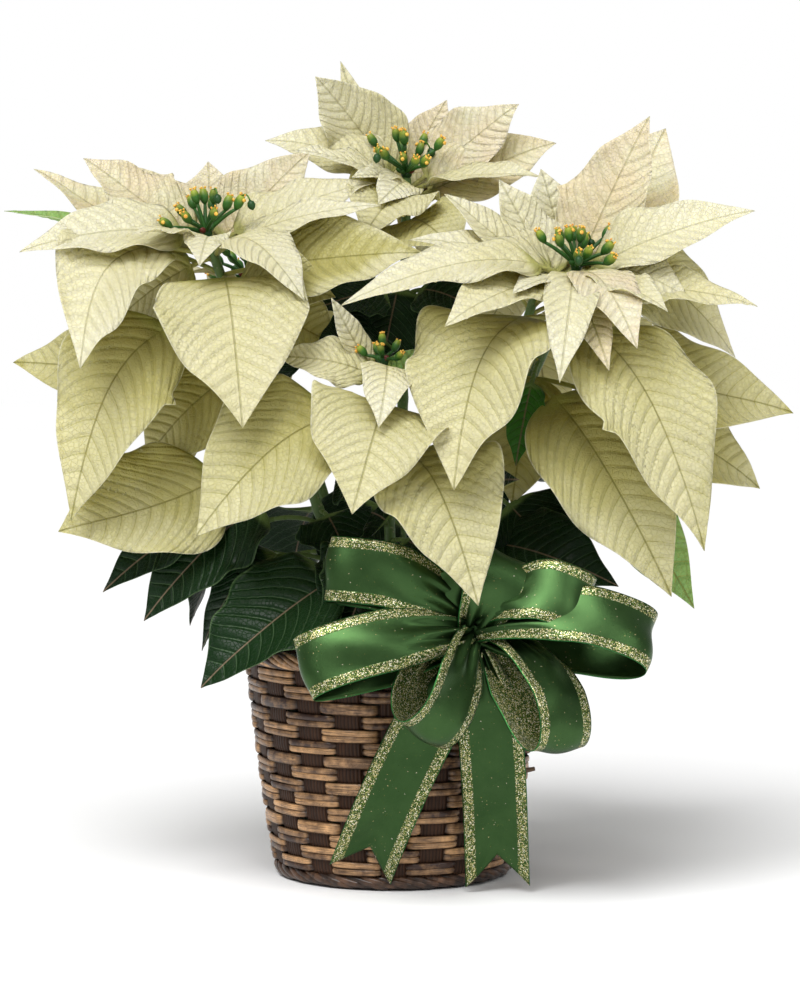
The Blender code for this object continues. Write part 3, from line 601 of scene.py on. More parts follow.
# The six plants. Each has a stem that is brown and woody near the soil and green higher up, and
# dark glossy leaves on long stalks. A leaf is a thin blade, quilted between its pale veins.
PLANTS = {
    "left": {"foot": (-26, -6), "top": (-112, -12, 388), "hub": 132},
    "top": {"foot": (4, 26), "top": (8, 48, 426), "hub": 60},
    "right": {"foot": (28, -8), "top": (108, -48, 368), "hub": 116},
    "centre": {"foot": (0, -34), "top": (-6, -62, 312), "hub": 66},
    "back_left": {"foot": (-24, 30), "top": (-92, 108, 362), "hub": 90},
    "back_right": {"foot": (30, 24), "top": (98, 112, 380), "hub": 90},
}
STEM_RADIUS = 4 * MM
STEM_DEPTH = 28 * MM
STEM_STEPS = 60
JOINT_SPACING = 31
JOINT_SWELL = 0.55 * MM
STEM_UP = (0.0, 1.0, 0.0)
ROOT_OFFSET = 1.6 * MM
LEAF_STALK = 0.26
LEAF_QUILT = 1.1
LEAF_LOBES = 0.045
STALK_HALF = 1.25 * MM
STALK_ROWS = 6
BLADE_HALF_THICKNESS = 0.22 * MM
MIDRIB_DEPTH = 1.15 * MM
BLADE_NUMBERS = ("across", "vein", "rim", "grown", "shelter", "limb", "tint", "blush")
# The least width of a blade for each grid of rows and columns.
BLADE_GRIDS = ((55, 62, 20), (34, 48, 14), (0, 36, 10))


def cubic(points, share):
    """The point at this share of a cubic curve with four control points."""
    a, b, c, d = points
    rest = 1 - share
    return a * rest**3 + b * (3 * rest * rest * share) + c * (3 * rest * share**2) + d * share**3


def stem_line(plant):
    foot = Vector((*plant["foot"], SOIL_TOP / MM)) * MM
    top = Vector(plant["top"]) * MM
    return foot, foot + Vector((0, 0, 0.4 * (top - foot).length)), top - (top - foot) * 0.3, top


def stem_point(plant, drop):
    """The point this far below the flower head, along the stem."""
    line = stem_line(plant)
    return cubic(line, 1 - drop / (line[3] - line[0]).length)


def stem_at_height(plant, height):
    line = stem_line(plant)
    low, high = 0.0, 1.0
    for _ in range(20):
        middle = (low + high) / 2
        if cubic(line, middle).z < height:
            low = middle
        else:
            high = middle
    return cubic(line, low)


# Sight lines from the leaves meet the imported blades here, which tells how deep in the plant a
# point lies and how much of the sky is hidden from it. The bracts take this as painted shade and are
# darker and greener there.
crowd_points = []
crowd_faces = []
for node_name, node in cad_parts.items():
    if node_name.startswith(("bracts", "leafy_stem")):
        start = len(crowd_points)
        crowd_points += [vertex.co.copy() for vertex in node.data.vertices]
        crowd_faces += [[start + corner for corner in face.vertices] for face in node.data.polygons]
crowd = BVHTree.FromPolygons(crowd_points, crowd_faces)
SIGHT = 130 * MM
SIGHT_LINES = 14
SIGHT_START = 2.5 * MM
sky_draw = random.Random(3)
sky = []
while len(sky) < SIGHT_LINES:
    look = Vector((sky_draw.gauss(0, 1), sky_draw.gauss(-0.35, 1), sky_draw.gauss(0.5, 1))).normalized()
    if look.z > -0.25 and all(look.dot(other) < 0.88 for other in sky):
        sky.append(look)


def sky_hidden(point, normal):
    """Share of the sky that other blades hide from a point."""
    facing = Vector(normal)
    start = Vector(point) + facing * SIGHT_START
    looks = [look for look in sky if look.dot(facing) > 0.05]
    hidden = sum(crowd.ray_cast(start, look, SIGHT)[0] is not None for look in looks)
    return hidden / len(looks) if looks else 1.0


def shelter(middle, normals):
    """The hidden share all over a blade, found at every other point of its grid and smoothed."""
    pairs = zip(middle[::2, ::2], normals[::2, ::2])
    coarse = np.array([[sky_hidden(*pair) for pair in zip(*row)] for row in pairs])
    row_at = np.clip(np.arange(len(middle)) / 2, 0, len(coarse) - 1)
    column_at = np.arange(middle.shape[1]) / 2
    coarse = np.stack([np.interp(row_at, np.arange(len(coarse)), column) for column in coarse.T], 1)
    hidden = np.stack([np.interp(column_at, np.arange(coarse.shape[1]), row) for row in coarse])
    for _ in range(3):
        near = np.pad(hidden, 1, "edge")
        hidden = (near[:-2, 1:-1] + near[2:, 1:-1] + near[1:-1, :-2] + near[1:-1, 2:] + hidden) / 5
    return hidden


def rise(value, start, length):
    """0 up to start, then rising evenly to 1 over this length."""
    return np.clip((value - start) / length, 0, 1)


def outline_share(along):
    """Half width of a pointed oval blade, as a share of its largest, from stalk to tip."""
    rising, falling = 0.52, 1.02
    peak = rising / (rising + falling)
    return (along**rising * (1 - along) ** falling) / (peak**rising * (1 - peak) ** falling)


def blade(piece, root, tip, width, arch, facing, stalk, sway, draw, quilt, lobes=0.0, **numbers):
    """A leaf or bract: an arched blade with a midrib below, quilted between its side veins.

    The stalk is the share of its length that is bare, sway bends it sideways, and quilt is how far
    the skin is puffed up, in millimetres.
    """
    root = root + Vector((tip.x - root.x, tip.y - root.y, 0)).normalized() * ROOT_OFFSET
    line = tip - root
    length = line.length
    along = line.normalized()
    facing = Vector(facing)
    normal = (facing - along * facing.dot(along)).normalized()
    side = along.cross(normal)
    rows, columns = next(grid for least, *grid in BLADE_GRIDS if width >= least * MM)
    on_stalk = np.linspace(0, stalk, STALK_ROWS, endpoint=False)
    share = np.append(on_stalk, stalk + (1 - stalk) * np.linspace(0, 1, rows + 1))[:, None]
    s = rise(share, stalk, 1 - stalk)
    # It is a pointed oval that narrows faster near its drawn-out tip, and it runs into its stalk.
    half = width / 2 * outline_share(s) * (1 - 0.22 * rise(s, 0.72, 0.28) ** 1.5)
    half = (half**3 + (STALK_HALF * (1 - s) ** 2) ** 3) ** (1 / 3) + 0.12 * MM
    span = np.linspace(-1, 1, columns + 1)
    u = (np.sign(span) * np.abs(span) ** 1.25)[None, :]
    out = np.abs(u)
    bend = np.sin(math.pi * share**0.75)
    droop = rise(share, 0.8, 0.2) ** 2
    limb = rise(s, 0, 0.12)
    # Its edge is lobed or a little wavy, and now and then has one tooth. The third draw isn't used:
    # it keeps the draws after it in their order.
    phase_left, phase_right, _ = (draw.uniform(0, 6.28) for _ in range(3))
    phase = np.where(u < 0, phase_left, phase_right)
    waves = draw.uniform(1.3, 2.4)
    hollow, twist = draw.uniform(0.0, 0.22), draw.uniform(-0.13, 0.13)
    edge = 1 + lobes * np.sin(2 * math.pi * 4.3 * s + phase) * limb
    edge = edge + 0.022 * np.sin(2 * math.pi * 2.7 * s + 2 * phase) * limb
    if draw.random() < 0.3 and not lobes:
        tooth = draw.uniform(0.3, 0.5)
        edge = edge + 0.16 * np.exp(-(((s - tooth) / 0.022) ** 2)) * (np.sign(u) == draw.choice((-1, 1)))
    x = half * u * edge
    # The side veins run forward from the midrib, and the skin is puffed up between them.
    spacing = min(9.6 * MM, max(5.2 * MM, length * (1 - stalk) / 11))
    vein = (share * length - 0.42 * np.abs(x) - 4.5 * x * x / max(width, 0.02) * 0.35) / spacing
    puff = (np.abs(np.sin(math.pi * vein)) ** 0.75 - 0.6) * quilt * MM
    puff = puff * rise(out, 0, 0.25) * rise(1 - out, 0, 0.15) * limb * (1 - s) ** 0.3
    # The sides are folded up, twisted and curled, and the whole is arched with a drooping tip.
    ripple = np.sin(2 * math.pi * waves * s + phase) * out**2.2 * half * 0.09 * limb
    fold = half * (hollow * out + 0.10 * u * u + twist * u * (2 * s - 0.7)) * limb
    curl = rise(out, 0.62, 0.38) ** 2 * np.sin(2 * math.pi * (waves + 0.9) * s + 2 * phase)
    wave = half * (0.07 * np.sin(5 * share + 2 * u) * out + 0.10 * curl * limb)
    lift = arch * bend - droop * length * 0.02 + fold + wave + ripple + puff
    middle = np.array(root) + share[..., None] * np.array(line)
    middle = middle + lift[..., None] * np.array(normal) + (sway * bend + x)[..., None] * np.array(side)
    upper_way = unit(np.cross(np.gradient(middle, axis=1), np.gradient(middle, axis=0)), 1e-12)
    if (upper_way @ np.array(normal)).mean() < 0:
        upper_way = -upper_way
    round_stalk = np.sqrt(1 - np.clip(out, 0, 0.96) ** 2) * STALK_HALF * (1 - limb)
    thin = BLADE_HALF_THICKNESS * (0.7 + 0.3 * (1 - out))
    midrib = MIDRIB_DEPTH * np.exp(-((x / (1.1 * MM)) ** 2)) * (1 - s) ** 1.4 * limb
    upper = middle + (thin + round_stalk)[..., None] * upper_way
    lower = middle - (thin + round_stalk + midrib)[..., None] * upper_way
    hidden = shelter(middle, upper_way)
    carried = {"across": x, "vein": vein, "rim": out, "grown": s, "shelter": hidden, "limb": limb}
    numbers.update({name: on_both(values, x) for name, values in carried.items()})
    piece.add(slab(upper, lower), **numbers)


# Each leaf: height of its root, tip, width, arch, the way that it faces, and where it isn't dark
# how pale it is.
LEAVES = {"left": (
    (236, (-150, -44, 160), 60, 22, (-3, -8, 4)),
    (214, (-128, 30, 150), 60, 24, (-8, 2, 4)),
    (190, (-118, -8, 138), 56, 26, (-8, -3, 4)),
    (250, (-176, -30, 176), 44, 14, (-3, -8, 4)),
    (318, (-68, 5, 297), 40, 8, (0, -8, 4)),
    (222, (-28, -30, 196), 50, 8, (1, -8, 5)),
), "centre": (
    (196, (-113, -93, 126), 72, 14, (-3, -8, 6)),
    (206, (36, -82, 190), 44, 8, (1, -7, 6)),
    (200, (-44, -80, 172), 48, 8, (-1, -7, 6)),
    (240, (-35, -30, 243), 46, 8, (-1, -8, 5)),
    (216, (-13, -45, 224), 40, 6, (0, -8, 4)),
    (204, (-30, -94, 150), 54, 12, (-1, -9, 4)),
), "right": (
    (196, (132, -78, 184), 54, 18, (2, -8, 5)),
    (236, (71, -112, 248), 20, 8, (-1, -10, 2)),
    (190, (136, -20, 148), 60, 26, (8, -2, 4)),
    (170, (122, 34, 140), 56, 24, (8, 3, 4)),
    (314, (72, -74, 254), 23, 6, (-2, -10, 2), 1.0),
    (236, (104, -40, 186), 54, 12, (1, -8, 4)),
), "top": (
    (310, (-50, -20, 318), 50, 14, (-2, -8, 6)),
    (240, (6, 128, 190), 60, 26, (0, 8, 5)),
    (352, (54, 8, 344), 46, 10, (1, -8, 6)),
    (350, (-46, 12, 346), 44, 10, (-1, -8, 6)),
    (374, (-8, 22, 306), 62, 6, (0, -9, 3)),
    (262, (72, 26, 214), 60, 10, (1, -8, 4)),
    (236, (-42, 10, 176), 60, 10, (0, -8, 4)),
), "back_left": (
    (236, (-150, 96, 176), 62, 26, (-8, 6, 4)),
    (214, (-70, 150, 150), 62, 26, (-3, 9, 4)),
    (190, (-112, 66, 130), 54, 22, (-8, 6, 4)),
), "back_right": (
    (240, (160, 92, 190), 62, 26, (8, 6, 4)),
    (216, (70, 154, 156), 62, 26, (3, 9, 4)),
    (190, (118, 84, 136), 54, 22, (7, 7, 4)),
)}


def vein_lines(finish, thin, wide):
    """Two numbers that are 1 on the midrib and on the side veins, and the place between veins."""
    grown, limb = finish.read("grown"), finish.read("limb")
    rib = abs(finish.read("across")).between(wide, thin) * limb
    fork = abs((finish.read("vein") + 0.5).fraction() - 0.5)
    line_width = 0.075 - finish.read("rim") * 0.045
    sides = (fork / line_width).between(1.0, 0.25) * grown.between(1.0, 0.8) * limb
    return rib, sides, fork


leaf = Finish("poinsettia_leaf", Specular_IOR_Level=0.16)
rib, sides, fork = vein_lines(leaf, 0.25 * MM, 0.8 * MM)
net = leaf.cells(420.0, "DISTANCE_TO_EDGE").between(0.09, 0.0)
mottle = leaf.noise(45.0, 3, 0.6)
pale_leaf = leaf.read("blush")
leaf.paint(mottle, (0.005, 0.022, 0.004), over=(0.0015, 0.008, 0.0015))
leaf.paint(leaf.read("tint") * 0.5, (0.006, 0.032, 0.006))
leaf.paint(pale_leaf * 0.8, (0.05, 0.20, 0.02))
leaf.paint(net * 0.2, (0.02, 0.065, 0.018))
leaf.paint(sides * 0.45 + pale_leaf * sides * 0.4, (0.09, 0.15, 0.07))
leaf.paint(rib * 0.7, (0.24, 0.17, 0.11))
leaf.paint(leaf.read("rim").between(0.95, 1.0) * 0.5, (0.12, 0.2, 0.08))
leaf.paint(leaf.read("limb").between(0.9, 0.4), (0.13, 0.2, 0.055))
leaf.set(Roughness=mottle * 0.2 + 0.25)
leaf.bump(fork.between(0.0, 0.25) - rib - net * 0.3, 0.8 * MM, 0.7)

bark = Finish("stem_bark", Roughness=0.5)
bark_grain = bark.noise(520.0, 3, 0.6, bark.stretch((1, 1, 0.2)))
bark_spots = bark.cells(380.0).between(0.3, 0.12)
woody = (bark.parts(bark.place())[2] + bark_grain * 0.03).between(0.21, 0.14)
bark.paint(bark_grain, (0.12, 0.21, 0.05), over=(0.045, 0.10, 0.02))
bark.paint(woody, (0.12, 0.075, 0.04))
bark.paint(bark_spots * 0.5, (0.3, 0.26, 0.15))
bark.bump(bark_grain + bark_spots, 0.4 * MM)

for plant_name, plant in PLANTS.items():
    draw = random.Random("leaves " + plant_name)
    leafy = Piece(*BLADE_NUMBERS)
    line = stem_line(plant)
    reach = (line[3] - line[0]).length
    end_share = 1 - (plant["hub"] * MM + 0.3 * MM) / reach
    shares = np.linspace(0, end_share, STEM_STEPS)
    points = [line[0] - Vector((0, 0, STEM_DEPTH - 0.3 * MM))] + [cubic(line, share) for share in shares]
    swell = JOINT_SWELL * np.exp(-((((shares * reach / MM) % JOINT_SPACING) - 15) / 2.2) ** 2)
    radii = np.append(STEM_RADIUS, STEM_RADIUS - 0.7 * MM * shares / end_share + swell - 0.25 * MM)
    leafy.add(rod(points, radii, 10, STEM_UP), finish=1)
    for height, tip, width, arch, way, *pale in LEAVES[plant_name]:
        root = stem_at_height(plant, height * MM)
        tip = Vector(tip) * MM
        blade(
            leafy, root, tip, width * MM, arch * MM, way, LEAF_STALK, 0.0, draw, LEAF_QUILT, LEAF_LOBES,
            tint=draw.random(), blush=sum(pale),
        )
    leafy.make("leaves_" + plant_name, "leaf_green", [leaf, bark], "leafy_stem_" + plant_name)


# The bracts: the coloured leaves that make the flower. They are thin, satin and cream white, with
# yellow-green veins. Painted shade darkens them to olive yellow where others hide the sky from them,
# and they blush faintly at the back.
HUB_RADIUS = 3.2 * MM
HEAD_CLEARANCE = 4
BRACT_STALK = 0.14
BRACT_QUILT = 1.5
DEEP_QUILT = 2.5
BACK_QUILT = 0.9
BACK_WIDTH = 54 * MM
GOLDEN_SHARE = 0.618
# Each bract: drop of its root below the head, tip, width, arch, the way that it faces, and where
# it has them its sideways sway and the share of it that is stalk.
BRACTS = {"left": (
    (12, (-183, -85, 313), 72, 16, (-3, -8, 4), 34, 0.16),
    (4, (-224, -30, 381), 46, 12, (-1, -7, 7), 4),
    (2, (-154, -60, 391), 26, 5, (-1, -4, 9)),
    (3, (-114, -66, 372), 28, 10, (0, -8, 6)),
    (8, (-52, -72, 352), 44, 20, (3, -6, 7)),
    (26, (-87, -105, 279), 92, 24, (1, -10, 2), 0, 0.12),
    (56, (-191, -66, 222), 74, 22, (-2, -9, 2), 30, 0.2),
    (46, (-238, 40, 313), 58, 8, (-2, -8, 5), -26, 0.2),
    (4, (-224, 50, 434), 38, -12, (2, -6, 7)),
    (20, (-240, 32, 408), 28, 4, (0, -2, 10)),
    (2, (-189, 10, 438), 44, -2, (3, -8, 5)),
    (3, (-116, 58, 438), 50, -16, (0, -8, 6)),
    (5, (-174, 44, 437), 50, -14, (3, -9, 3), 10),
    (3, (-51, 34, 443), 48, -12, (-1, -8, 5), -7),
    (3, (-11, 18, 424), 42, 6, (0, -5, 8)),
    (8, (-8, -24, 409), 30, 8, (0, -5, 9)),
    (22, (18, -40, 380), 60, 4, (0, -8, 6)),
    (34, (-35, -34, 353), 54, 14, (4, -8, 3)),
    (118, (-200, -50, 214), 80, 2, (0, -9, 4), -20, 0.36),
    (84, (-153, 8, 252), 56, 20, (-2, -9, 2), 0, 0.2),
    (10, (-176, 12, 332), 56, 10, (-1, -9, 4)),
    (40, (-34, 10, 322), 52, 6, (2, -9, 3)),
), "top": (
    (7, (-48, 44, 489), 56, -20, (2, -9, 3), 10, 0.16),
    (14, (-34, 112, 504), 32, -27, (1, -9, 4)),
    (8, (-80, 60, 451), 42, 10, (0, -7, 7), 5),
    (5, (-61, 14, 443), 28, 6, (0, -5, 8)),
    (5, (34, 96, 478), 34, -14, (0, -9, 3), -6, 0.26),
    (8, (48, 104, 470), 38, -16, (-2, -8, 4), 0, 0.2),
    (3, (77, 40, 472), 48, -10, (-2, -8, 4), -5),
    (12, (101, 52, 449), 48, 2, (0, -8, 6)),
    (7, (91, 14, 427), 30, 6, (0, -3, 9)),
    (2, (-25, 8, 426), 20, 4, (0, -6, 8)),
    (3, (-9, -2, 409), 28, 8, (0, -10, 3)),
    (22, (-18, -18, 389), 60, 16, (-1, -8, 6)),
    (34, (40, -34, 378), 58, 14, (1, -9, 4)),
), "right": (
    (2, (154, -16, 462), 52, -15, (-3, -9, 1), -6, 0.12),
    (5, (168, 34, 458), 68, -12, (-3, -9, 1), 2),
    (6, (214, -50, 405), 42, 8, (0, -7, 7), -2),
    (10, (158, -112, 346), 34, 10, (5, -7, 3)),
    (9, (174, -70, 352), 52, 12, (5, -7, 5), -8),
    (20, (214, -70, 349), 36, 12, (0, -5, 8)),
    (22, (206, -30, 317), 56, 18, (4, -9, 3), -26),
    (4, (140, -122, 325), 38, 18, (3, -9, 4)),
    (2, (95, -136, 306), 32, 20, (0, -10, 3)),
    (9, (124, -118, 312), 26, 12, (1, -10, 3)),
    (3, (69, -108, 356), 24, 4, (-2, -6, 8)),
    (16, (30, -126, 338), 48, 14, (-3, -7, 6)),
    (6, (-30, -92, 350), 42, 22, (-1, -6, 8)),
    (4, (10, -44, 388), 30, 8, (0, -5, 8)),
    (3, (31, -36, 415), 32, -6, (0, -6, 8)),
    (2, (90, 2, 431), 46, -14, (2, -9, 2), 5),
    (4, (64, -12, 424), 36, -10, (1, -8, 5)),
    (32, (34, -134, 245), 92, 30, (-5, -9, 3), 9),
    (34, (181, -112, 208), 78, 38, (4, -8, 2)),
    (74, (163, -92, 179), 78, 30, (1, -9, 3)),
    (104, (182, -36, 166), 54, 20, (3, -9, 2), -8, 0.2),
    (50, (246, 4, 283), 62, 8, (3, -8, 5), 8, 0.2),
    (72, (228, 20, 235), 60, 22, (3, -8, 3), 0, 0.2),
    (56, (71, -35, 228), 58, 6, (-2, -9, 2)),
), "centre": (
    (8, (-69, -64, 318), 38, 8, (-1, -7, 7)),
    (4, (-36, -72, 352), 17, -7, (2, -9, 2)),
    (3, (-8, -118, 279), 32, 16, (1, -10, 2)),
    (11, (12, -64, 322), 20, -4, (0, -8, 6), 0, 0.2),
    (56, (49, -131, 178), 78, 30, (3, -10, 2), -4),
    (26, (-23, -138, 231), 82, 22, (0, -10, 2), 0, 0.12),
    (34, (-115, -94, 215), 90, 24, (-3, -8, 4), 10, 0.2),
)}
# The bracts on the side away from the front: how many, the first one's angle round the stem and the
# angle they spread over in degrees, the length of the lowest and the bare stem above the uppermost.
BACK_BRACTS = {
    "top": (4, 50, 90, 106, 16),
    "right": (2, 66, 60, 84, 30),
    "back_left": (12, 62, 216, 125, 8),
    "back_right": (12, -86, 206, 125, 10),
}
# Bracts that the veins pucker most, those that blush, and those that are still partly green.
QUILTED = {"left": (0, 5), "right": (11, 12, 17, 18, 22), "centre": (4,), "top": (11, 12)}
BLUSHING = {"left": (8, 10, 11, 12, 13), "right": (0, 1, 7, 9), "top": (4, 5, 6, 7)}
GREENISH = {"left": (9,), "right": (20,), "centre": (3,)}

bract = Finish(
    "poinsettia_bract",
    Subsurface_Weight=0.18,
    Subsurface_Scale=0.004,
    Subsurface_Radius=(1.0, 0.8, 0.25),
    Specular_IOR_Level=0.25,
)
rib, sides, fork = vein_lines(bract, 0.25 * MM, 0.75 * MM)
net = bract.cells(360.0, "DISTANCE_TO_EDGE").between(0.1, 0.0)
mottle = bract.noise(38.0, 4, 0.6)
crumple = bract.noise(150.0, 4, 0.6) * 1.2
# Painted shade turns the cream olive where blades hide the sky; lower, older bracts are olive too.
shade = bract.read("shelter") * 0.45 + bract.read("tint") * 0.5
shade = shade + (mottle - 0.5) * 0.3 + (0.65 - bract.read("grown")) * 0.3
age_and_shade = shade.between(0.12, 0.6)
cream = bract.ramp(
    shade,
    (0.0, (0.74, 0.70, 0.50)),
    (0.25, (0.64, 0.59, 0.35)),
    (0.5, (0.55, 0.51, 0.27)),
    (0.75, (0.43, 0.39, 0.145)),
    (1.0, (0.26, 0.23, 0.055)),
)
blush = bract.read("blush")
bract.paint(blush.between(0.0, 1.0) * mottle.between(0.3, 0.65) * 0.32, (0.74, 0.50, 0.36), over=cream)
bract.paint(blush.between(0.0, -1.0) * 0.8, (0.12, 0.34, 0.06))
bract.paint(net * (age_and_shade * 0.15 + 0.05), (0.44, 0.40, 0.12))
bract.paint(sides * (age_and_shade * 0.46 + 0.12), (0.27, 0.25, 0.05))
bract.paint(rib * (age_and_shade * 0.4 + 0.3), (0.20, 0.19, 0.035))
bract.paint(bract.read("rim").between(0.97, 1.0) * 0.4, (0.86, 0.83, 0.62))
bract.paint(bract.read("limb").between(0.9, 0.3) * 0.8, (0.30, 0.30, 0.06))
bract.set(Roughness=mottle * 0.2 + 0.42)
bract.bump(fork.between(0.0, 0.3) - rib * 0.8 - net * 0.35 + crumple, 1.1 * MM, 0.75)

for plant_name, plant in PLANTS.items():
    draw = random.Random("bracts " + plant_name)
    head = Piece(*BLADE_NUMBERS)
    hub = plant["hub"] * MM
    hub_points = [stem_point(plant, hub * (1 - share)) for share in np.linspace(0, 1, 24)]
    head.add(rod(hub_points, HUB_RADIUS - 0.2 * MM, 10, STEM_UP), finish=1)
    quilted, blushing, greenish = (table.get(plant_name, ()) for table in (QUILTED, BLUSHING, GREENISH))
    for number, (drop, tip, width, arch, way, *rest) in enumerate(BRACTS.get(plant_name, ())):
        sway, stalk = rest + [0, BRACT_STALK][len(rest) :]
        root = stem_point(plant, (drop + HEAD_CLEARANCE) * MM)
        tip = Vector(tip) * MM
        tint = min(1.0, max(0.0, (drop - 4) / 30)) * 0.75 + 0.25 * draw.random()
        numbers = {"tint": tint, "blush": (number in blushing) - (number in greenish)}
        quilt = DEEP_QUILT if number in quilted else BRACT_QUILT
        blade(head, root, tip, width * MM, arch * MM, way, stalk, sway * MM, draw, quilt, **numbers)
    count, first, spread, longest, clearance = BACK_BRACTS.get(plant_name, (0, 0, 0, 0, 0))
    solid_draw = random.Random(plant_name)
    for number in range(count):
        share = (number + 0.5) / count
        angle = math.radians(first + spread * ((number * GOLDEN_SHARE) % 1))
        root = stem_point(plant, clearance * MM + 0.55 * hub * share)
        length = longest * MM * (0.55 + 0.45 * share)
        lift = math.radians(14 - 52 * share + solid_draw.uniform(-5, 5))
        out = Vector((math.cos(angle), math.sin(angle), 0))
        tip = root + out * (length * math.cos(lift)) + Vector((0, 0, length * math.sin(lift)))
        way = out * 0.5 + Vector((0, 0, 1))
        width = min(length * solid_draw.uniform(0.42, 0.52), BACK_WIDTH)
        tint = 0.7 * share + 0.3 * draw.random()
        blade(head, root, tip, width, length * 0.2, way, BRACT_STALK, 0.0, draw, BACK_QUILT, tint=tint)
    head.make("bract_head_" + plant_name, "bract_cream", [bract, bark], "bracts_" + plant_name)


# The small flowers in the middle of each head: green cups on stalks, each with yellow stamens
# and a yellow nectar lip. Seed capsules hang from some of them on bent stalks. Five buds stand
# round the foot of each cluster, one of them red.
GOLDEN_ANGLE = math.radians(137.5)
CUPS = 12
CUP_SPREAD = 30 * MM
CUP_HEIGHT = 31 * MM
CUP_RADIUS = 3.1 * MM
CUP_LENGTH = 3.3  # in radii of the cup
CUP_SIDES = 10
STALK_STEPS = 7
YOUNG_HEAD = "centre"
YOUNG_CUPS = 6
YOUNG_SIZE = 0.6
CUPS_WITH_LIP = 0.75
BUDS = 5
RED_BUD = 2
CLUSTER_LEAN = {"right": (-0.1, -0.3, 0.4), "top": (-0.1, -0.55, 0.3)}
# Outlines of the round bodies: share of the length, and radius in millimetres.
CLUSTER_FOOT = ((0, 2.6), (0.3, 3.5), (0.7, 3.7), (1, 2.4))
ANTHER = ((0, 0.25), (0.3, 0.62), (0.75, 0.6), (1, 0.2))
NECTAR_LIP = ((0, 0.7), (0.4, 1.25), (0.85, 1.15), (1, 0.6))
CAPSULE = ((0, 0.7), (0.2, 2.1), (0.5, 2.6), (0.8, 1.9), (0.95, 0.8), (1, 0.4))
BUD = ((0, 1.0), (0.4, 2.0), (0.8, 1.5), (1, 0.4))
# The cup's outline turns in at the mouth. Its radii are shares of the widest one, and each ring
# has its ripeness.
CUP = (
    (0, 0.34), (0.12, 0.62), (0.3, 0.92), (0.5, 1), (0.7, 0.93), (0.86, 0.74),
    (0.95, 0.6), (0.9, 0.42), (0.8, 0.2),
)
CUP_RIPENESS = (0.25, 0.35, 0.45, 0.55, 0.7, 0.85, 1.0, 1.0, 0.9)

cup_green = Finish("cup_green", Specular_IOR_Level=0.3)
mottle = cup_green.noise(500.0, 3, 0.6)
ripe_green = cup_green.ramp(
    cup_green.read("grown") + (mottle - 0.5) * 0.3,
    (0.0, (0.018, 0.075, 0.012)),
    (0.55, (0.045, 0.15, 0.02)),
    (0.85, (0.30, 0.36, 0.04)),
)
cup_green.paint(cup_green.read("tint") * 0.6, (0.008, 0.04, 0.012), over=ripe_green)
cup_green.set(Roughness=mottle * 0.2 + 0.3)
cup_green.bump(mottle, 0.2 * MM)
stamen_gold = Finish("stamen_gold", Roughness=0.6)
mottle = stamen_gold.noise(900.0, 3, 0.6)
stamen_gold.paint(mottle.between(0.35, 0.65), (0.95, 0.68, 0.12), over=(0.78, 0.30, 0.03))
stamen_gold.bump(mottle, 0.3 * MM)
bud_red = Finish("bud_red", Roughness=0.45)
mottle = bud_red.noise(700.0, 3)
bud_red.paint(mottle, (0.22, 0.03, 0.02), over=(0.06, 0.008, 0.01))
bud_red.bump(mottle, 0.2 * MM)


def bulb(start, way, length, outline, sides, size=MM):
    """A swollen round body along a straight axis."""
    line = [start + way * (length * share) for share, _ in outline]
    return rod(line, [radius * size for _, radius in outline], sides, way.orthogonal())


def bent(start, middle, end):
    """Points on a bent line from start to end that heads for middle at first."""
    shares = np.linspace(0, 1, STALK_STEPS)
    return [start * (1 - t) ** 2 + middle * (2 * t * (1 - t)) + end * t * t for t in shares]


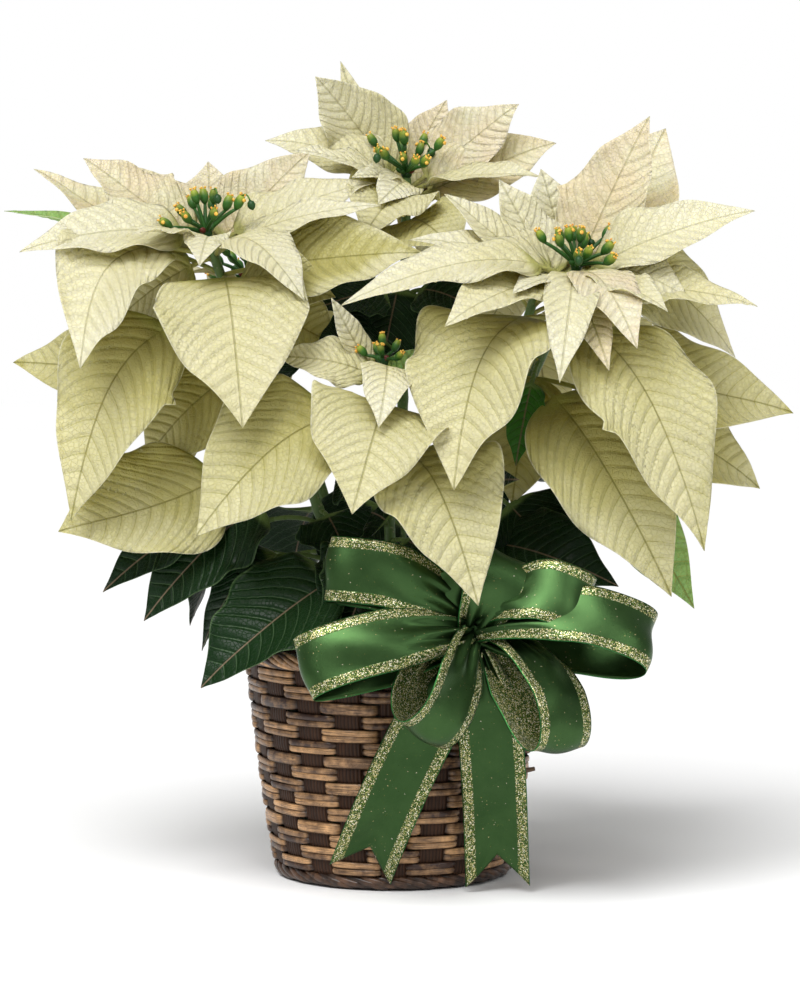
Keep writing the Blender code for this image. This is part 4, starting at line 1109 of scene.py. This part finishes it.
for plant_name, plant in PLANTS.items():
    draw = random.Random("cups " + plant_name)
    line = stem_line(plant)
    axis = (line[3] - line[2]).normalized()
    base = line[3] + axis * (0.3 * MM)
    root = base + axis * (3 * MM)
    lean = (axis + Vector(CLUSTER_LEAN.get(plant_name, (0, 0, 0)))).normalized()
    turn_to = lean.to_track_quat("Z", "Y").to_matrix()
    young = plant_name == YOUNG_HEAD
    size, count = (YOUNG_SIZE, YOUNG_CUPS) if young else (1, CUPS)
    cluster = Piece("grown", "tint")
    cluster.add(bulb(base, axis, 6 * MM, CLUSTER_FOOT, 12), tint=1.0)
    for number in range(count):
        angle = number * GOLDEN_ANGLE
        spread = CUP_SPREAD * size * math.sqrt(number / count)
        height = (CUP_HEIGHT * draw.uniform(0.72, 1.08)) * size - 0.3 * spread
        tip = base + turn_to @ Vector((spread * math.cos(angle), spread * math.sin(angle), height))
        wide = CUP_RADIUS * (0.6 + 0.4 * size) * draw.uniform(0.85, 1.0)
        reach = (tip - root).normalized()
        upright = (reach + lean * 0.45).normalized()
        cup_length = wide * CUP_LENGTH
        foot = tip - upright * cup_length
        tint = draw.uniform(0, 1)
        stalk = bent(root, root + reach * ((foot - root).length * 0.6), foot + upright * (0.3 * MM))
        radii = np.linspace(1.5, 1.0, STALK_STEPS) * MM * (0.75 + 0.25 * size)
        cluster.add(rod(stalk, radii, 6, reach.orthogonal()), grown=0.2, tint=tint)
        cup = bulb(foot, upright, cup_length, CUP, CUP_SIDES, wide)
        cluster.add(cup, grown=np.repeat(CUP_RIPENESS, CUP_SIDES), tint=tint * 0.8)
        across = upright.orthogonal().normalized()
        over = upright.cross(across)
        for stamen in range(draw.choice((3, 5, 6, 7))):
            swing = stamen * 2.4 + draw.uniform(-0.3, 0.3)
            out = across * math.cos(swing) + over * math.sin(swing)
            start = foot + upright * (cup_length * 0.82) + out * (0.3 * wide)
            end = start + (upright + out * 0.5).normalized() * (draw.uniform(1.3, 2.3) * MM * size)
            cluster.add(rod([start, end], 0.3 * MM, 4, across), finish=1)
            cluster.add(bulb(end, upright, 1.1 * MM, ANTHER, 6), finish=1)
        if draw.random() < CUPS_WITH_LIP:
            swing = draw.uniform(0, 2 * math.pi)
            out = across * math.cos(swing) + over * math.sin(swing)
            lip = foot + upright * (cup_length * 0.72) + out * (0.8 * wide)
            cluster.add(bulb(lip, (upright * 0.6 + out).normalized(), 1.7 * MM, NECTAR_LIP, 8), finish=1)
        if not young and number % 4 == 3:
            out = Vector((tip.x - base.x, tip.y - base.y, 0)).normalized()
            start = foot + upright * (cup_length * 0.85)
            top = start + out * (3 * MM) + Vector((0, 0, 4 * MM))
            hang = start + out * (5.5 * MM) + Vector((0, 0, -2.5 * MM))
            cluster.add(rod(bent(start, top, hang), 0.55 * MM, 5, (0, 1, 0.1)), grown=0.6)
            way = (out * 0.35 + Vector((0, 0, -1))).normalized()
            capsule = bulb(hang - way * (0.5 * MM), way, 6.2 * MM, CAPSULE, 10)
            cluster.add(capsule, tint=1.0, grown=0.1)
    for number in range(BUDS):
        angle = number * GOLDEN_ANGLE + 1
        out = turn_to @ Vector((math.cos(angle), math.sin(angle), 0.55))
        bud = bulb(root + out * (1.5 * MM), out.normalized(), 5.5 * MM * size, BUD, 8)
        cluster.add(bud, finish=2 if number == RED_BUD else 0, grown=0.4, tint=0.6)
    finishes = [cup_green, stamen_gold, bud_red]
    cluster.make("flower_cups_" + plant_name, "cyathium_green", finishes, "cyathia_" + plant_name)


# The bow is one wired satin ribbon, 38 mm wide, with glitter printed along both edges. It is laid
# in eight loops and two swallow-tailed ends, gathered in the middle and bound with its own end.
RIBBON_WIDTH = 38 * MM
RIBBON_THICKNESS = 0.6 * MM
RIBBON_GATHER = 0.34
RIBBON_COLUMNS = 17
PLEATS = 3
PLEAT_DEPTH = 0.20  # in widths of the ribbon
CREASE_DEPTH = 1.5 * MM
KNOT = Vector((46, -104, 158)) * MM
KNOT_RADIUS = 10.6 * MM
KNOT_ROWS = 20
KNOT_COLUMNS = 48
KNOT_SHELL = 0.93  # the inner skin, as a share of the outer one
KNOT_TURN = 66 * MM  # ribbon that goes once round the knot
LOOP_LAYER = 4.5 * MM
LOOP_STEPS = 85
TAIL_STEPS = 70
TAIL_RIPPLE = 3.6 * MM
NOTCH_DEPTH = 20 * MM
# Each loop: the angle of its way out seen from the front, its lean to the front, its length, half
# its opening, its roll, and how far its outer part is bent to the side. Angles are in degrees.
LOOPS = (
    (172, 8, 90, 18, 10, -26),
    (194, 14, 103, 19, 22, -6),
    (122, -4, 50, 16, 0, 0),
    (62, -4, 50, 16, 0, 0),
    (-14, 16, 62, 19, -22, 31),
    (-11, 4, 103, 23, -34, 15),
    (-72, 24, 84, 20, -42, 27),
    (-106, 28, 70, 19, -42, -12),
)
GLITTER_INSIDE = (6, 7)  # loops whose inner face glitters all over
TAILS = (
    ((47, -109, 150), (26, -113, 120), (0, -99, 70), (-20, -80, 10)),
    ((49, -109, 148), (57, -109, 116), (60, -90, 66), (62, -76, 4)),
)


def ribbon_band(centres, sides, fronts, gathers, inner, phase, notch=0.0):
    """Adds a run of ribbon with its pleats, as a thin closed skin, and gives its length."""
    span = np.linspace(-1, 1, RIBBON_COLUMNS)
    gathers = gathers[:, None]
    run = np.append(0, np.cumsum(np.linalg.norm(np.diff(centres, axis=0), axis=1)))[:, None]
    pleat = (1 - gathers) * PLEAT_DEPTH * RIBBON_WIDTH * np.sin(math.pi * PLEATS * span + phase)
    creases = CREASE_DEPTH * np.sin(3.4 * span + 55 * run + phase) * np.sin(38 * run + 2 * phase)
    crown = -0.7 * MM * span**2 + pleat + creases
    middle = centres[:, None] + sides[:, None] * span[:, None] + fronts[:, None] * crown[..., None]
    if notch:
        grow = unit(np.gradient(centres, axis=0))
        ending = rise(np.arange(len(centres)) / (len(centres) - 1), 0.7, 0.3)[:, None]
        pull = (1 - np.abs(span)) * ending * notch
        middle = middle - grow[:, None] * pull[..., None]
    way = unit(np.cross(np.gradient(middle, axis=1), np.gradient(middle, axis=0)), 1e-12)
    if (way * fronts[:, None]).sum(2).mean() < 0:
        way = -way
    half = RIBBON_THICKNESS / 2
    bow.add(
        slab(middle + half * way, middle - half * way),
        across=on_both(span, middle),
        along=on_both(run, middle),
        # fold darkens the satin as painted shade where it is gathered, and along the tails.
        fold=on_both(gathers * (0.74 if notch else 1.0), middle),
        inside=np.repeat([0.0, inner], len(centres) * len(span)),
    )
    return run[-1, 0]


bow = Piece("across", "along", "inside", "knot", "fold")
ribbon_length = KNOT_TURN
share = np.linspace(0.05, 0.95, LOOP_STEPS)
from_knot = np.minimum(share, 1 - share)
for number, (angle, lean, length, opening, roll, aside) in enumerate(LOOPS):
    angle, lean = math.radians(angle), math.radians(lean)
    out = Vector((math.cos(angle) * math.cos(lean), -math.sin(lean), math.sin(angle) * math.cos(lean)))
    upright = Vector((-math.sin(angle), 0, math.cos(angle)))
    across = Matrix.Rotation(math.radians(roll), 3, out) @ upright
    across = (across - out * across.dot(out)).normalized()
    front = out.cross(across)
    start = KNOT + Vector((0, LOOP_LAYER * (-1) ** number, 0))
    along = length * MM * (1 - np.cos(2 * math.pi * share)) / 2
    swing = opening * MM * np.sin(2 * math.pi * share) * np.sin(math.pi * share) ** 0.5
    outer = rise(from_knot, 0, 0.3)
    outer = aside * MM * outer**1.3 * (2 - outer)
    centres = np.array(start) + np.outer(along, out) + np.outer(swing, front) + np.outer(outer, upright)
    gather = np.clip(RIBBON_GATHER + (1 - RIBBON_GATHER) * from_knot / 0.24, 0, 1)
    gather = gather - 0.04 * (1 - gather)
    sides = np.outer(RIBBON_WIDTH / 2 * gather, across)
    fronts = unit(np.cross(np.gradient(centres, axis=0), across))
    if fronts[20] @ np.array(front) < 0:
        fronts = -fronts
    inner = 1 if number in GLITTER_INSIDE else -1
    ribbon_length += ribbon_band(centres, sides, fronts, gather, inner, number * 1.3)

share = np.linspace(0, 1, TAIL_STEPS)
gather = np.clip(RIBBON_GATHER + (1 - RIBBON_GATHER) * share / 0.3, 0, 1)
for number, tail in enumerate(TAILS):
    control = [Vector(point) * MM for point in tail]
    centres = np.array([cubic(control, t) for t in share])
    tangent = unit(np.gradient(centres, axis=0))
    across = unit(np.cross(tangent, (0, 1, 0)))
    fronts = np.cross(across, tangent)
    if fronts[:, 1].mean() > 0:
        fronts = -fronts
    ripple = TAIL_RIPPLE * np.sin(share * 11 + number * 2) * share
    centres = centres + fronts * ripple[:, None]
    sides = across * (RIBBON_WIDTH / 2 * gather)[:, None]
    ribbon_length += ribbon_band(centres, sides, fronts, gather, 0, number, NOTCH_DEPTH)

tilt = math.pi * (0.04 + 0.92 * np.arange(KNOT_ROWS) / (KNOT_ROWS - 1))[:, None]
angle = 2 * math.pi * np.arange(KNOT_COLUMNS + 1) / KNOT_COLUMNS
way = (1.1 * np.cos(tilt), 0.8 * np.sin(tilt) * np.cos(angle), np.sin(tilt) * np.sin(angle))
way = np.stack(np.broadcast_arrays(*way), -1)
swell = KNOT_RADIUS * (1 + 0.07 * np.sin(7 * tilt + 1.2 * np.sin(2 * angle)))[..., None]
bow.add(
    slab(np.array(KNOT) + way * swell, np.array(KNOT) + way * swell * KNOT_SHELL),
    across=on_both(np.linspace(-1, 1, KNOT_ROWS)[:, None], way),
    along=on_both(np.linspace(0, 0.06, KNOT_COLUMNS + 1), way),
    knot=1.0,
    # fold 0.5 darkens the whole knot as painted shade.
    fold=0.5,
)

satin = Finish("glitter_satin", Specular_IOR_Level=0.15)
across = satin.read("across")
off_middle = abs(across)
inside = satin.read("inside")
ribbon_place = satin.flat_place(across * (RIBBON_WIDTH / 2), satin.read("along"))
printed = off_middle.between(0.985, 0.965)
band = off_middle.between(0.64, 0.68) * printed * (inside + 1).between(0.0, 0.5)
band = band.either(inside * printed) * (1 - satin.read("knot") * 0.7)
flake_tone = satin.parts(satin.cells(2100.0, out="Color", at=ribbon_place))
spill = satin.noise(40.0, 3, at=ribbon_place).between(0.5, 0.8) * 0.09 + 0.005
speck = flake_tone[1].between(1 - spill, 1.001 - spill)
flake = (band * flake_tone[0].between(0.28, 0.34)).either(speck * 0.8)
flake_colour = satin.ramp(
    flake_tone[2],
    (0.0, (0.02, 0.06, 0.012)),
    (0.35, (0.10, 0.19, 0.04)),
    (0.6, (0.32, 0.31, 0.10)),
    (0.8, (0.72, 0.62, 0.30)),
    (1.0, (0.95, 0.93, 0.75)),
)
weft = satin.noise(1.0, 2, at=satin.stretch((600, 9000, 1), ribbon_place))
cloth = satin.noise(55.0, 3, 0.55, ribbon_place)
satin.paint(cloth, (0.056, 0.112, 0.036), over=(0.020, 0.052, 0.014))
satin.paint(weft * 0.25, (0.09, 0.19, 0.07))
# Painted shade: the satin darkens where it is gathered by the knot, over the knot and along the tails.
satin.paint(satin.read("fold").between(0.95, 0.4) * 0.75, (0.008, 0.022, 0.006))
satin.paint(band * 0.85, (0.02, 0.045, 0.012))
satin.paint(flake, flake_colour)
satin.paint(off_middle.between(0.975, 0.99), (0.03, 0.16, 0.04))
satin.set(Metallic=0.85 - flake * 0.4, Roughness=cloth * 0.08 + (1 - flake) * 0.08 + 0.2)
satin.bump(flake * flake_tone[1] * 2.0 + weft * 0.15, 0.35 * MM, 0.8)
bow_piece = bow.make("ribbon_bow_satin", "ribbon_green", [satin], "ribbon_bow")

# The florist's wire that holds the bow runs from behind the knot over the border into the peat.
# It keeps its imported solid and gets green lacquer.
lacquer = Finish("green_lacquer", Coat_Weight=0.5, Coat_Roughness=0.15)
lacquer_runs = lacquer.noise(600.0, 3)
lacquer.paint(lacquer_runs, (0.03, 0.14, 0.045), over=(0.01, 0.07, 0.02))
lacquer.set(Roughness=lacquer_runs * 0.2 + 0.3)
lacquer.bump(lacquer_runs, 0.1 * MM)
dress("bow_wire", lacquer)
